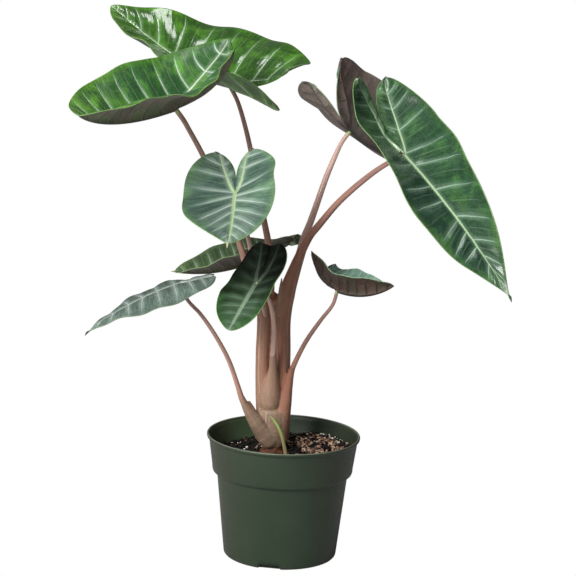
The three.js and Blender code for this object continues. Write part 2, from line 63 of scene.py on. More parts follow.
POT_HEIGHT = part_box("pot")[1].z / MM
RIM_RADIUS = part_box("pot")[1].x / MM
CORM_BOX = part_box("corm")

# Leaves, in millimetres and degrees. Most values were fitted to outline points that were read off the
# photograph, and many were changed afterwards. "heading", "pitch" and "roll" turn the blade about
# its stalk's end. "length" runs from there to the tip, "lobe" back to the end of the two lobes, and
# "half" is half the width. The pairs are (right, left), seen from the stalk towards the tip with the top
# face up: "fold" lifts a half, "curl" bends it from the midrib to the margin, "lift" raises a back lobe
# and "lobe_fold" folds it. "droop", "twist" and "sweep" bend the midrib. "lobe_x" is where a lobe ends,
# as a share of the half width, and "taper" and "tip" shape the outline towards the tip. The notch between
# the lobes starts at "sinus" of their length and opens with the power "notch". "quilt" is the rise
# between the side veins. "waves" of the height "wave" run along the margins, starting at "phase". "route"
# is the stalk's middle line up to "at", and "radii" has its radius at each of these points, "at"
# included.
LEAVES = {
    "upper_back": {
        "at": (-71, 80, 497), "heading": 129, "pitch": 9, "roll": -48, "length": 200, "lobe": 80,
        "half": 83, "fold": (6, 49), "curl": (-40, 33), "lift": (31, -38), "lobe_fold": (0, 71),
        "droop": -36, "twist": 20, "sweep": 6, "lobe_x": 0.42, "taper": 1.2, "tip": 0.71, "sinus": 0.125,
        "notch": 0.9, "quilt": 2.2, "waves": 3.5, "wave": (4, 1.5), "phase": (0.39, 0.17),
        "route": ((-20, 3, 262), (-19, 6, 289), (-20, 8, 319), (-24, 11, 342), (-29, 15, 363),
                  (-36, 25, 393), (-46, 41, 434), (-52, 51, 455), (-62, 69, 482)),
        "radii": (4, 3.9, 3.7, 3.5, 3.3, 3.1, 2.7, 2.5, 2.3, 2.3),
    },
    "upper_left": {
        "at": (-121, -52, 484), "heading": -145, "pitch": -16, "roll": -26, "length": 155, "lobe": 97,
        "half": 65, "fold": (21, 69), "curl": (8, -44), "lift": (36, 55), "lobe_fold": (2, 79),
        "droop": -50, "twist": 22, "sweep": -23, "lobe_x": 0.5, "taper": 1.79, "tip": 0.63, "sinus": 0.375,
        "notch": 1.7, "quilt": 2, "waves": 5, "wave": (0.8, 1.2), "phase": (0.35, 0.53),
        "route": ((-27, -1, 262), (-37, -2, 290), (-47, -4, 320), (-52, -5, 336), (-74, -7, 391),
                  (-94, -15, 433), (-108, -33, 461), (-114, -44, 473)),
        "radii": (4, 3.9, 3.6, 3.5, 3, 2.8, 2.6, 2.6, 2.6),
    },
    "front_heart": {
        "at": (-58, -62, 401), "heading": -91, "pitch": -32, "roll": 6, "length": 91, "lobe": 51.5,
        "half": 53, "fold": (0, 30), "curl": (2, 14), "lift": (30, 40), "lobe_fold": (9, 24), "droop": -15,
        "twist": -19, "sweep": 1, "lobe_x": 0.42, "taper": 1.66, "tip": 0.84, "sinus": 0.375, "notch": 2.2,
        "quilt": 1.6, "waves": 3.5, "wave": (0.2, 0), "phase": (0.45, 0.91),
        "route": ((-24, -4, 262), (-30, -6, 291), (-37, -10, 318), (-42, -18, 339), (-47, -34, 362),
                  (-53, -50, 385)),
        "radii": (2.9, 2.8, 2.6, 2.4, 2.3, 2.2, 2.1),
    },
    "middle_back": {
        "at": (-39, 58, 311), "heading": 179, "pitch": -26, "roll": -5, "length": 89, "lobe": 48,
        "half": 41, "fold": (47, 39), "curl": (-31, -13), "lift": (4, -14), "lobe_fold": (13, 42),
        "droop": -30, "twist": -3, "sweep": 8, "lobe_x": 0.51, "taper": 1.66, "tip": 0.61, "sinus": 0.333,
        "notch": 3, "quilt": 1.6, "waves": 3.5, "wave": (1.1, 1.3), "phase": (0.87, 0.23),
        "route": ((-18, 8, 250), (-21, 19, 277), (-29, 38, 298)),
        "radii": (3.2, 2.9, 2.6, 2.3),
    },
    "front_hanging": {
        "at": (-33, -62, 309), "heading": -126, "pitch": -43, "roll": 6, "length": 65, "lobe": 46,
        "half": 36, "fold": (6, 9), "curl": (-4, 18), "lift": (26, 34), "lobe_fold": (1, 3), "droop": -7,
        "twist": -13, "sweep": -9, "lobe_x": 0.42, "taper": 1.4, "tip": 0.56, "sinus": 0.95, "notch": 0.6,
        "quilt": 1.3, "waves": 3.5, "wave": (0.6, 0), "phase": (0.08, 0.52),
        "route": ((-14, -15.8, 218), (-14, -18, 227), (-14, -25, 252), (-16, -31, 271), (-20, -40, 287),
                  (-26, -50, 299)),
        "radii": (3.3, 2.9, 2.5, 2.3, 2.2, 2.1, 2.1),
    },
    "lower_left": {
        "at": (-113, -45, 303), "heading": -172, "pitch": -19, "roll": 12, "length": 109, "lobe": 36,
        "half": 38, "fold": (17, -13), "curl": (-19, -29), "lift": (8, 2), "lobe_fold": (-14, -11),
        "droop": 20, "twist": -4, "sweep": 0, "lobe_x": 0.52, "taper": 1.27, "tip": 0.98, "sinus": 0.333,
        "notch": 1.7, "quilt": 1.3, "waves": 3.5, "wave": (1.8, 1.5), "phase": (0.07, 0.67),
        "route": ((-42, -14.6, 167), (-45.5, -16.2, 174), (-51, -20, 191), (-61, -26, 219),
                  (-76, -32, 247), (-91, -37, 269), (-105, -42, 285)),
        "radii": (3.6, 3.2, 2.6, 2.4, 2.2, 2, 1.9, 1.8),
    },
    "lower_right": {
        "at": (51, -25, 297), "heading": -31, "pitch": -12, "roll": -26, "length": 69, "lobe": 43,
        "half": 30, "fold": (32, 70), "curl": (-21, 11), "lift": (18, 49), "lobe_fold": (51, 39),
        "droop": -42, "twist": -9, "sweep": 22, "lobe_x": 0.92, "taper": 1.47, "tip": 0.51, "sinus": 0.333,
        "notch": 1.8, "quilt": 1.2, "waves": 3.5, "wave": (0.6, 0.5), "phase": (0.53, 0.71),
        "route": ((3, -5, 186), (6, -8, 204), (11, -13, 219), (21, -17, 241), (35, -21, 264),
                  (47, -24, 282)),
        "radii": (3.4, 3, 2.6, 2.4, 2.1, 1.9, 1.9),
    },
    "turned_away": {
        "at": (59, 45, 457), "heading": 68, "pitch": -23, "roll": -16, "length": 171, "lobe": 81,
        "half": 64, "fold": (36, 45), "curl": (20, 4), "lift": (35, 66), "lobe_fold": (64, 37), "droop": 2,
        "twist": -8, "sweep": 27, "lobe_x": 0.7, "taper": 1.21, "tip": 0.94, "sinus": 0.375, "notch": 1.8,
        "quilt": 2.8, "waves": 3.5, "wave": (2.9, 1), "phase": (0.5, 0.79),
        "route": ((8, 5, 322), (14, 12, 345), (20, 18, 360), (25, 23, 375), (36, 33, 409), (43, 38, 427),
                  (51, 42, 445)),
        "radii": (3.6, 3.7, 3.7, 3.5, 3.1, 2.8, 2.3, 2.3),
    },
    "large_right": {
        "at": (111, -75, 448), "heading": -51, "pitch": -30, "roll": 0, "length": 200, "lobe": 95,
        "half": 52, "fold": (6, 45), "curl": (30, 50), "lift": (56, 27), "lobe_fold": (5, 8), "droop": 12,
        "twist": 44, "sweep": 1, "lobe_x": 0.47, "taper": 1.7, "tip": 1.3, "sinus": 0.375, "notch": 2.4,
        "quilt": 2.6, "waves": 5, "wave": (1, 0), "phase": (0.75, 0.05),
        "route": ((9, 0, 322), (15, -7, 340), (21, -12, 353), (28, -18, 363), (48, -32, 391),
                  (72, -48, 417), (92, -62, 435)),
        "radii": (4.2, 4.2, 4.1, 3.8, 3.3, 3, 2.6, 2.4),
    },
}

# Side veins of each blade, read in the photograph. "veins" has the pairs (where a vein starts on the
# midrib or a lobe's rib, where it ends on the margin), from the tip to the lobes, as shares of the length
# and, below zero, of the lobe. The first list is for the right half. "bow" bends the veins, "arch" raises
# their middle towards the tip, and "costa" has how far out a lobe's rib runs, as a share of the half
# width, and how it bends. "swell" widens the blade in front of its stalk. A blade takes what it doesn't
# state from the plain layout.
PLAIN_VEINS = ((0.88, 0.95), (0.7, 0.8), (0.52, 0.6), (0.36, 0.42), (0.2, 0.25), (0.05, 0.08), (-0.2, -0.15),
               (-0.5, -0.5), (-0.8, -0.8))
LONG_VEINS = ((0.93, 0.97), (0.81, 0.91), (0.68, 0.81), (0.55, 0.69), (0.42, 0.55), (0.29, 0.4),
              (0.16, 0.25), (0.04, 0.1), (-0.25, -0.2), (-0.5, -0.48), (-0.75, -0.74))
NARROW_VEINS = ((0.85, 0.9), (0.7, 0.76), (0.53, 0.58), (0.38, 0.46), (0.23, 0.25), (0.06, 0.08),
                (-0.25, -0.3), (-0.6, -0.65))
PLAIN_LAYOUT = {"veins": (PLAIN_VEINS, PLAIN_VEINS), "bow": (1.2, 1.2), "arch": 0.0,
                "costa": ((0.4, 0.7), (0.4, 0.7)), "swell": 0.04}
LAYOUTS = {
    "upper_back": {
        "veins": (((0.95, 0.98), (0.87, 0.95), (0.76, 0.91), (0.62, 0.82), (0.49, 0.66), (0.33, 0.5),
                   (0.18, 0.34), (0.02, 0.2), (-0.3, -0.04), (-0.56, -0.34), (-0.8, -0.66)),
                  ((0.94, 0.98), (0.85, 0.94), (0.73, 0.86), (0.58, 0.74), (0.42, 0.58), (0.27, 0.42),
                   (0.1, 0.24), (-0.12, 0.04), (-0.4, -0.22), (-0.66, -0.52), (-0.86, -0.8))),
        "bow": (1.3, 1.3), "costa": ((0.45, 0.8), (0.45, 0.8)),
    },
    "upper_left": {
        "veins": (((0.95, 0.97), (0.86, 0.88), (0.75, 0.77), (0.58, 0.64), (0.46, 0.46), (0.28, 0.31),
                   (0.13, 0.14), (-0.02, -0.12), (-0.28, -0.44), (-0.56, -0.66), (-0.82, -0.88)),
                  ((0.95, 0.97), (0.86, 0.88), (0.75, 0.77), (0.6, 0.64), (0.46, 0.48), (0.28, 0.31),
                   (0.13, 0.14), (-0.02, -0.12), (-0.28, -0.44), (-0.56, -0.66), (-0.82, -0.88))),
        "arch": 0.02, "costa": ((0.53, 0.7), (0.45, 0.7)),
    },
    "front_heart": {
        "veins": (((0.8, 0.95), (0.53, 0.86), (0.33, 0.79), (0.19, 0.66), (0.05, 0.3), (-0.02, -0.22),
                   (-0.45, -0.62), (-0.7, -0.9)),
                  ((0.78, 0.93), (0.6, 0.86), (0.42, 0.78), (0.3, 0.66), (0.12, 0.53), (0.05, 0.3),
                   (-0.12, -0.04), (-0.6, -0.66), (-0.85, -0.9))),
        "bow": (1.2, 1.05), "costa": ((0.35, 0.75), (0.24, 0.5)), "swell": 0.0,
    },
    "middle_back": {},
    "front_hanging": {
        "veins": (((0.85, 0.93), (0.65, 0.76), (0.5, 0.6), (0.36, 0.37), (0.14, 0.1), (-0.03, -0.3),
                   (-0.38, -0.6), (-0.7, -0.85)),
                  ((0.85, 0.93), (0.64, 0.7), (0.52, 0.56), (0.4, 0.43), (0.2, 0.2), (0.02, -0.1),
                   (-0.3, -0.45), (-0.7, -0.8))),
        "bow": (1.3, 1.3), "costa": ((0.36, 0.6), (0.33, 0.5)),
    },
    "lower_left": {"veins": (NARROW_VEINS, NARROW_VEINS)},
    "lower_right": {"costa": ((0.6, 0.8), (0.6, 0.8))},
    "turned_away": {"veins": (LONG_VEINS, LONG_VEINS), "costa": ((0.5, 0.8), (0.5, 0.8))},
    "large_right": {
        "veins": (((0.88, 0.95), (0.79, 0.88), (0.68, 0.75), (0.58, 0.7), (0.5, 0.62), (0.36, 0.41),
                   (0.25, 0.3), (0.08, 0.15), (-0.28, -0.2), (-0.48, -0.5), (-0.68, -0.66), (-0.85, -0.85)),
                  ((0.93, 0.98), (0.82, 0.93), (0.74, 0.86), (0.635, 0.76), (0.475, 0.66), (0.28, 0.47),
                   (0.09, 0.3), (-0.01, 0.14), (-0.32, -0.44), (-0.6, -0.78), (-0.8, -0.93))),
        "bow": (1.15, 1.2), "costa": ((0.55, 2.2), (0.42, 0.55)),
    },
}

# Colours of each blade, as display values: the deep green between the veins, the bright green of the
# margins and patches, the veins, the ribs, and the underside with its patches. "bright_at" is how much of
# the bright green lies everywhere, at the margin, at the tip, on the left half and in patches. "widths"
# has those of the side veins and of the midrib at the stalk, in millimetres, and "haze" how strong and
# how wide (in millimetres) a vein's pale edges are. "gloss" is the roughness of the top face and how
# strongly it mirrors. "shade" is painted shade: how much darker the blade is at the first of two shares
# of its length, with the full colour at the second one. It paints the shadow of the leaves above on the
# upper part of the hanging leaf.
PLAIN_SHADE = (0.0, 0.0, 1.0)
LOOKS = {
    "upper_back": {
        "deep": "1c4a0e", "bright": "4f841f", "vein": "bcd8b4", "rib": "c0daae",
        "under": ("4c5f3c", "3d5a34"), "bright_at": (0.2, 0.3, 0.1, 0.1, 0.45), "widths": (1.9, 3.0),
        "haze": (0.18, 4.0), "gloss": (0.14, 0.7)},
    "upper_left": {
        "deep": "30602f", "bright": "5f9630", "vein": "cfe3cc", "rib": "cfe0c0",
        "under": ("6b6151", "60694a"), "bright_at": (0.0, 0.45, 0.5, 0.0, 0.5), "widths": (2.4, 3.8),
        "haze": (0.26, 3.6), "gloss": (0.36, 0.4)},
    "front_heart": {
        "deep": "4c685c", "bright": "688f5e", "vein": "c4d6c8", "rib": "b4cc9c",
        "under": ("6a5c55", "5a5a4c"), "bright_at": (0.0, 0.5, 0.0, 0.1, 0.3), "widths": (1.9, 6.0),
        "haze": (0.42, 5.0), "gloss": (0.5, 0.4)},
    "middle_back": {
        "deep": "394f33", "bright": "5a7345", "vein": "a4b99c", "rib": "a4b99c",
        "under": ("463a2c", "4a4c30"), "bright_at": (0.1, 0.5, 0.2, 0.0, 0.4), "widths": (1.6, 2.6),
        "haze": (0.25, 4.0), "gloss": (0.42, 0.4)},
    "front_hanging": {
        "deep": "182a12", "bright": "365c2c", "vein": "6d8870", "rib": "8fa68c",
        "under": ("53473e", "4a4c3a"), "bright_at": (0.0, 0.5, 0.35, 0.0, 0.45), "widths": (1.2, 9.0),
        "haze": (0.5, 8.0), "gloss": (0.45, 0.12), "shade": (0.94, -0.45, 0.8)},
    "lower_left": {
        "deep": "566a60", "bright": "65786c", "vein": "b4c0b8", "rib": "b4c0b8",
        "under": ("6a5c55", "5a5a4c"), "bright_at": (0.1, 0.4, 0.0, 0.2, 0.4), "widths": (2.0, 3.4),
        "haze": (0.4, 5.0), "gloss": (0.42, 0.5)},
    "lower_right": {
        "deep": "5c8672", "bright": "88a896", "vein": "a8c0b0", "rib": "b0c4b4",
        "under": ("544339", "4c4538"), "bright_at": (0.2, 0.4, 0.0, 0.0, 0.4), "widths": (1.6, 2.8),
        "haze": (0.4, 4.0), "gloss": (0.4, 0.5)},
    "turned_away": {
        "deep": "3f5f50", "bright": "5e8064", "vein": "8fb09c", "rib": "8fb09c",
        "under": ("7e6c65", "746a60"), "bright_at": (0.1, 0.4, 0.0, 0.0, 0.4), "widths": (1.6, 3.0),
        "haze": (0.3, 4.0), "gloss": (0.45, 0.4)},
    "large_right": {
        "deep": "284836", "bright": "4f7c3c", "vein": "a6c4aa", "rib": "b0caa0",
        "under": ("5a4642", "4a4238"), "bright_at": (0.0, 0.3, 0.0, 0.15, 0.35), "widths": (1.9, 4.6),
        "haze": (0.26, 4.5), "gloss": (0.26, 0.55), "shade": (0.25, 1.1, 0.5)},
}
GREEN_BELOW = ("upper_back",)  # blades whose lobes are green below too
# Slender ends of the blades: length and first radius in millimetres, how far the end droops, and its colour
TIPS = {
    "front_heart": {"length": 6, "radius": 1.5, "droop": 0.6, "colour": "cfcba4"},
    "lower_left": {"length": 4, "radius": 1.1, "droop": 0.8, "colour": "2a211c"},
    "large_right": {"length": 5, "radius": 1.4, "droop": 1.2, "colour": "3c5a34"},
    "middle_back": {"length": 4, "radius": 0.9, "droop": 0.2, "colour": "7d8a50"},
}
TIP_RADII = (0.5, 1, 0.6, 0.25)  # shares of the first radius along the end
TIP_FIRST_FALL = 0.4  # share of the droop halfway along
TIP_OVERLAP = 3  # how far the end starts inside the blade, in millimetres
TIP_ROWS = 4  # rows of the grid that give its direction

# Rolled end of one lobe of the leaf behind: its middle, outer and inner radius and width, in millimetres,
# its direction and its turns
CURL_AT = Vector((4.5, 51, 335.8))
CURL_RADII = (6.0, 3.0)
CURL_WIDTH = 12
CURL_AXIS = Vector((0.6, -0.75, 0.28)).normalized()
CURL_TURNS = 1.4

# Outline of the blades. Starts and lengths are shares of the blade's or the lobe's length.
LOBE_BLUNTNESS = 2.6
LOBE_ROUNDNESS = 0.62
NOTCH_ROUNDNESS = 0.6
SWELL_STEEPNESS = 2.5
TIP_SLIMMING = 0.18
TWIST_START = 0.35
TURN_START = 0.3
TURN_LENGTH = 1.2
TIP_FLATTENING = 0.6
WAVED_SHARE = 0.35

# Ribs and side veins: how close a lobe's rib may come to the notch and to the margin, how veins fade into
# the blade's ends, and how far in front of the midrib the grid's rows are still even
COSTA_MARGIN = 0.15
COSTA_START = 0.3
COSTA_LIMIT = 0.7
ARCH_FADE = 2.5
BACKWARD_BEND = 0.5
EVEN_ROWS = 0.08
GAP_STEP = 0.25
SLOPE_STEP = 0.02
LEAST_RUN = 0.25

# Relief of the blades, in millimetres but for the powers and shares
QUILT_POWER = 2.2
QUILT_REACH = 1.08
MIDRIB_DEPTH = 1.5
LOBE_RIB_DEPTH = 0.5
GROOVE_DEPTH = 0.5
RIB_SPREAD = 1.7
CREASE_SHARE = 0.04
RIB_AT_TIP = 0.3
RIB_FADE = 0.8
LOBE_RIB = 0.7
NO_EDGE = 30

# Rows and columns of a blade's grid, the columns as shares of the way from a lobe's rib to the notch and
# from the rib to the margin
ROWS = 160
INNER_COLUMNS = (1, 0.86, 0.7, 0.54, 0.38, 0.24, 0.12, 0.05)
OUTER_COLUMNS = (0, 0.012, 0.03, 0.06, 0.1, 0.15, 0.21, 0.28, 0.35, 0.43, 0.51, 0.59, 0.67, 0.75, 0.82, 0.89,
                 0.95, 0.985, 1)

# Pattern of the blades: widths in millimetres, and places as shares of the way from the rib to the margin.
# Pairs say where a mask begins and where it is full. The last two of four say how much of it shows there.
INNER_VEINS = (-0.08, 0, 0.55, 1)
VEIN_WANDER = 0.2
VEIN_TAPER = (0.56, 0.17)
VEIN_CORE = 0.3
VEIN_END = (0.99, 0.68, 0.05, 1)
FAINTEST_VEIN = 0.55
RIB_CORE = 0.5
LOBE_RIB_END = 0.4
HAZE_END = (1.05, 0.35)
RIB_HAZE = 1.2
THIN_VEIN = (0.75, 0.2)
THIN_START = (0.03, 0.2)
THIN_END = (0.95, 0.7)
NET_SCALE = 240.0
NET_LINE = (0.12, 0.02)
MARGIN_LINE = (0.9, 0.3)
STREAK_LENGTH = 0.35

# Colours and relief of the blades: tones in the darkest and the palest places, how strongly the underside's
# lines show, and how far lines stand out of a face
BRIGHT_MARGIN = (10, 1)
BRIGHT_TIP = (0.1, 0.95)
BRIGHT_PATCHES = (0.44, 0.64)
MOTTLE_TONES = (0.74, 1.25)
STREAK_TONES = (0.66, 1.36)
QUILT_TONES = (1.14, 0.88)
# share of a blade's painted shade that also darkens its veins and ribs
SHADED_LINES = 0.85
GLOSS_SPREAD = (0.06, 0.08)
TOP_RELIEF = {"Net": -0.02, "Vein": -0.5, "Thin": -0.12}
PUCKER_HEIGHT = 1.3
PUCKERED_GAPS = (3, 14)
LINE_DARKNESS = 0.3
UNDER_LINES = {"Net": 0.25, "Haze": 0.2, "Vein": 0.85, "Rib": 0.85}

# Colours of the other pieces, as display values
COLOURS = {
    "margin": "9dbb7c", "stalk_joint": "a9b878",
    "shoot_foot": "a08866", "shoot_skin": "93ac5c", "shoot_tip": "86a24a",
    # The seam colour of the sheaths is partly their own pale margin, partly a painted highlight on the lip.
    "sheath_patches": "a89a7c", "seam_pale_edge_and_highlight": "d8b8a0",
    # The pot's colour for its sides is painted shade, and its pale colour for the rim's top edge a painted
    # highlight.
    "pot_scuffs": "7d8577", "pot_painted_shade": "3a382b", "pot_rim_highlight": "a3a895",
    "bed_dark": "0e0b09", "bed_pale": "2a211a", "corm_dark": "2e170d", "corm_pale": "8a5232",
}
# Colours of the rolled end from its outer turn to its innermost one; the darkening into the roll is painted
# shade
CURL_COLOURS = ("9db18f", "879f7a", "5c6f50")
CHIP_COLOURS = ("1c120d", "6e4a3a", "b08c72", "d8bca2", "8a6450", "33211a")
CRUMB_COLOURS = ("0c0907", "1c1510", "120d0a", "33261d")
PERLITE_COLOURS = ("c9c6bd", "f2f0ea", "e2ded2")

# Clasping bases of the stalks: middle line and radii in millimetres. "seam" is the side where the margin
# of the sheath lies over itself, in degrees from the right, seen from above, "deep" its depth as a share
# of its width, and "tone" how pale it is, from 0 for reddish brown to 1 for pale tan.
SHEATHS = (
    {"route": ((-17, 1, 134), (-19.5, 2, 150), (-22, 1, 174), (-25, 0, 214), (-25, 0, 257), (-27, 0, 284)),
     "radii": (8, 9.8, 9.2, 7.4, 7.2, 7), "seam": -130, "deep": 1, "tone": 0.5},
    {"route": ((-5, 2, 134), (-4, 3, 150), (-4, 3, 170), (-4, 2, 221), (-5, 2, 258), (-2, 2, 285),
               (6.5, 2, 315), (13, 2, 334)),
     "radii": (8, 9.4, 9.2, 8.8, 8.8, 9.2, 6.6, 4.8), "seam": -58, "deep": 1, "tone": 0.3},
    {"route": ((-11, 6, 134), (-13, 7, 200), (-16, 6, 284)),
     "radii": (11, 11, 9), "seam": 90, "deep": 1, "tone": 0},
    {"route": ((-15, -2, 164), (-16, -4.5, 171), (-15.5, -7, 181), (-14.5, -9.5, 194), (-14, -13, 208),
               (-14, -16.5, 222), (-14, -19, 236)),
     "radii": (11, 12, 10.6, 7, 4.6, 3.5, 2.6), "seam": 90, "deep": 1, "tone": 0.8},
    {"route": ((-3, -1, 128), (-3, -3, 140), (-2, -4, 155), (0.5, -5.5, 172), (3, -6.5, 186),
               (5.5, -8.5, 202), (9, -11.5, 214)),
     "radii": (9, 9.5, 9, 7.2, 5, 3.6, 2.2), "seam": -150, "deep": 1, "tone": 0},
    {"route": ((-13, -3, 126), (-19, -5, 134), (-29, -9.5, 147), (-38, -12.5, 160), (-43.5, -15.2, 170),
               (-47.5, -17.5, 180)),
     "radii": (11.5, 12, 9, 5.6, 3.7, 2.3), "seam": 60, "deep": 1, "tone": 1.2},
    {"route": ((-9, -3, 262), (-9, -4, 291), (-8, -5, 305)),
     "radii": (4, 2, 0.8), "seam": 90, "deep": 1, "tone": 0.9},
    {"route": ((-30, -7, 144), (-34, -10, 158), (-38.5, -12, 171)),
     "radii": (7, 4.5, 1.4), "seam": 90, "deep": 1, "tone": 0.9},
    {"route": ((-10.3, -2, 121.5), (-10.3, -2, 126), (-11.2, -1.5, 136), (-12, 0, 147), (-12, 0, 158)),
     "radii": (11, 13.6, 17, 18.6, 18.4), "seam": -115, "deep": 0.82, "tone": 1},
)
# Skin of the trunk, in millimetres: how far a sheath's margin stands off, between which heights the sheaths
# become ringed and pale, how wide a seam's pale edge is (partly the sheath's own pale margin, partly a
# painted highlight on its lip), and the cells in which the sheaths grow together
SHEATH_LIP = 0.9
RINGED_TOP = 185
RINGED_FOOT = 145
SEAM_WIDTHS = (1.6, 0.5)
TRUNK_VOXEL = 0.8
TONE_ROUNDS = 8  # how often the tones of neighbouring points are evened out
TUBE_END = 0.03  # share of a tube's length that each of its rounded ends takes up
SHOOT = {
    "route": ((4, -31, 100), (3, -32, 119), (0, -32, 133), (-3, -31, 143), (-9, -29, 153), (-15, -27, 160)),
    "radii": (2.4, 2.2, 2, 1.8, 1.4, 0.5),
}
# How pale each stalk is, from 0 for brown and rose to 1 for pink
STALK_PALENESS = {"upper_back": 0.35, "upper_left": 0.4, "front_heart": 0.85, "middle_back": 0.3,
                  "front_hanging": 1.0, "lower_left": 0.35, "lower_right": 0.2, "turned_away": 1.0,
                  "large_right": 0.05}
STALK_SINK = 0.6  # how far below the blade's face a stalk ends, in millimetres

# Pot and mix, in millimetres
BAND_TOP_RADIUS = 80.2
BAND_FOOT_RADIUS = 75.8
BODY_TOP_RADIUS = 70.6
BASE_RADIUS = 61
WALL = 1.7
FLOOR = 2.2
BAND_FOOT_HEIGHT = 98.5
SHOULDER_HEIGHT = 91.5
LIP_HEIGHT = 129.2
BODY_FOOT = (BASE_RADIUS + 0.15, 3.2)  # radius and height where the straight body starts
BODY_TOP = (BODY_TOP_RADIUS - 0.2, SHOULDER_HEIGHT - 2)  # and where it ends
BODY_RINGS = (10, 11.5, 14, 20, 34, 52, 70, 84)  # heights of the body's rings
DRAIN_SLOTS = 3
SLOT_SIZE = (12, 24, 9)
SLOT_ROUNDING = 3.2
FIRST_SLOT = -100
SOIL_LEVEL = 110
SOIL_RADIUS = 74.6
HEAP = {"x": 36, "y": 32, "height": 12, "spread": 33}

# Loose grains: the smaller kinds as shares of a chip, and the spans of the random draws, in grain radii
# where they are lengths
CRUMB_SHARE = 0.8
PERLITE_SHARE = 0.7
TRIES_PER_GRAIN = 60
WALL_CLEARANCE = 1.5
GRAIN_SIZES = (0.55, 1.45)
GRAIN_TILT = (-0.5, 0.5)
GRAIN_PROPORTIONS = ((0.8, 1.5), (0.6, 1.0), (0.45, 0.85))
GRAIN_RISE = (-0.2, 0.7)
GRAIN_ROUGHNESS = (0.78, 1.15)

# Where the grains lie on the mix, in millimetres. Chips keep away from the trunk and thin out towards
# each edge of their field, which has its place and the width of the thinning. Perlite lies along a line,
# which has for X and for Y a point of it and a share, and in the corner at the back right.
TRUNK_MIDDLE = (-11, 2)
TRUNK_CLEARANCE = 19
CHIP_LEFT_EDGE = (2, 22)
CHIP_FRONT_EDGE = (-56, 24)
CHIP_BACK_EDGE = (46, 30)
STRAY_CHIPS = 0.02
PERLITE_LINE = ((-42, 0.45), (-14, 0.9))
PERLITE_SPREAD = 6
PERLITE_RIGHT_END = -20
PERLITE_CORNER = (40, 30)

# Corm: its mean size, and how high its growth rings and its lumps are, as shares of its box
CORM_SHRINK = 0.96
CORM_RINGS = 0.02
CORM_LUMPS = 0.05

# Camera, in metres, degrees and millimetres of lens and sensor
CAMERA_PLACE = (-0.0008, -2.0, 0.680)
CAMERA_PITCH = 10.95
CAMERA_ROLL = 2.02
CAMERA_LENS = 120
SENSOR = 36
CAMERA_REACH = 50

# Lights and floor, in metres. The light from all round changes along X, Y and Z: each row has two places
# in the direction that it comes from and the strengths there.
KEY_LIGHT = {"place": (-1.3, -1.9, 1.5), "aim": (0, 0, 0.35), "size": 1.2}
TOP_LIGHT = {"place": (-0.25, 0.35, 2.2), "aim": (-0.05, 0, 0.4), "size": 0.6}
ROUND_LIGHT = ((-0.8, 0.75, 1.35, 0.2), (-0.7, 0.7, 1.0, 0.9), (-0.2, 0.9, 0.8, 0.7))
MIRRORED_LIGHT = 0.35
WHITE = (1, 1, 1, 1)
FLOOR_RADIUS = 6
FLOOR_DROP = 0.0004
FLOOR_GREY = (0.55, 0.55, 0.55, 1)


class PotSettings(bpy.types.PropertyGroup):
    """Colour and facets of the pot"""

    colour: FloatVectorProperty(name="Plastic", description="Colour of the moulded plastic", subtype="COLOR",
                                default=(0.025, 0.046, 0.022))
    segments: IntProperty(name="Segments", description="Facets round the pot", default=160, min=24, max=512)


class MixSettings(bpy.types.PropertyGroup):
    """Grains of the potting mix"""

    chips: IntProperty(name="Chips", description="Tan and reddish chips on the heap", default=760, min=0,
                       max=4000)
    perlite: IntProperty(name="Perlite", description="White grains", default=140, min=0, max=1000)
    crumbs: IntProperty(name="Crumbs", description="Dark crumbs all over the mix", default=1500, min=0,
                        max=4000)
    chip_size: FloatProperty(name="Chip size", description="Mean radius of a chip", subtype="DISTANCE",
                             unit="LENGTH", default=1.5 * MM)


class LeafSettings(bpy.types.PropertyGroup):
    """Thickness of the blades"""

    thickness: FloatProperty(name="Thickness", description="Thickness of a blade", subtype="DISTANCE",
                             unit="LENGTH", default=0.8 * MM)


class StalkSettings(bpy.types.PropertyGroup):
    """Colours of the stalks and their sheaths"""

    pink: FloatVectorProperty(name="Pink", description="Colour of the pale upper stalks", subtype="COLOR",
                              default=(0.68, 0.44, 0.365))
    rose: FloatVectorProperty(name="Rose", description="Colour of the darker upper stalks", subtype="COLOR",
                              default=(0.34, 0.18, 0.145))
    brown: FloatVectorProperty(name="Brown", description="Colour of the lower stalks", subtype="COLOR",
                               default=(0.37, 0.155, 0.095))
    tan: FloatVectorProperty(name="Tan", description="Colour of the old sheaths", subtype="COLOR",
                             default=(0.40, 0.25, 0.17))


class StageSettings(bpy.types.PropertyGroup):
    """Lights"""

    key: FloatProperty(name="Key light", description="Power of the large light at the upper left",
                       unit="POWER", default=60.0)
    top: FloatProperty(name="Top light", description="Power of the light above the plant", unit="POWER",
                       default=8.0)
    fill: FloatProperty(name="Sky", description="Strength of the light from all round", default=0.6)


# Shape helpers

def radians(*angles):
    return [math.radians(angle) for angle in angles]


def smooth(share):
    share = min(1.0, max(0.0, share))
    return share * share * (3 - 2 * share)


def mapped_grid(bm, columns, rows, place):
    """A grid whose vertices go where place(vertex, across, along) puts them, both from 0 to 1."""
    made = bmesh.ops.create_grid(bm, x_segments=columns, y_segments=rows, size=0.5)
    for vert in made["verts"]:
        place(vert, vert.co.x + 0.5, vert.co.y + 0.5)
    return made["verts"]


def finished(name, bm, materials, body_nodes, smooth_faces=True):
    """The object of a finished mesh, riding on the plant and standing for its CAD nodes."""
    mesh = bpy.data.meshes.new(name)
    bm.to_mesh(mesh)
    bm.free()
    if smooth_faces:
        mesh.shade_smooth()
    piece = bpy.data.objects.new(name, mesh)
    bpy.context.scene.collection.objects.link(piece)
    for material in materials:
        mesh.materials.append(material)
    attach(piece, "root")
    if body_nodes:
        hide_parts(*body_nodes)
    return piece


# Blades

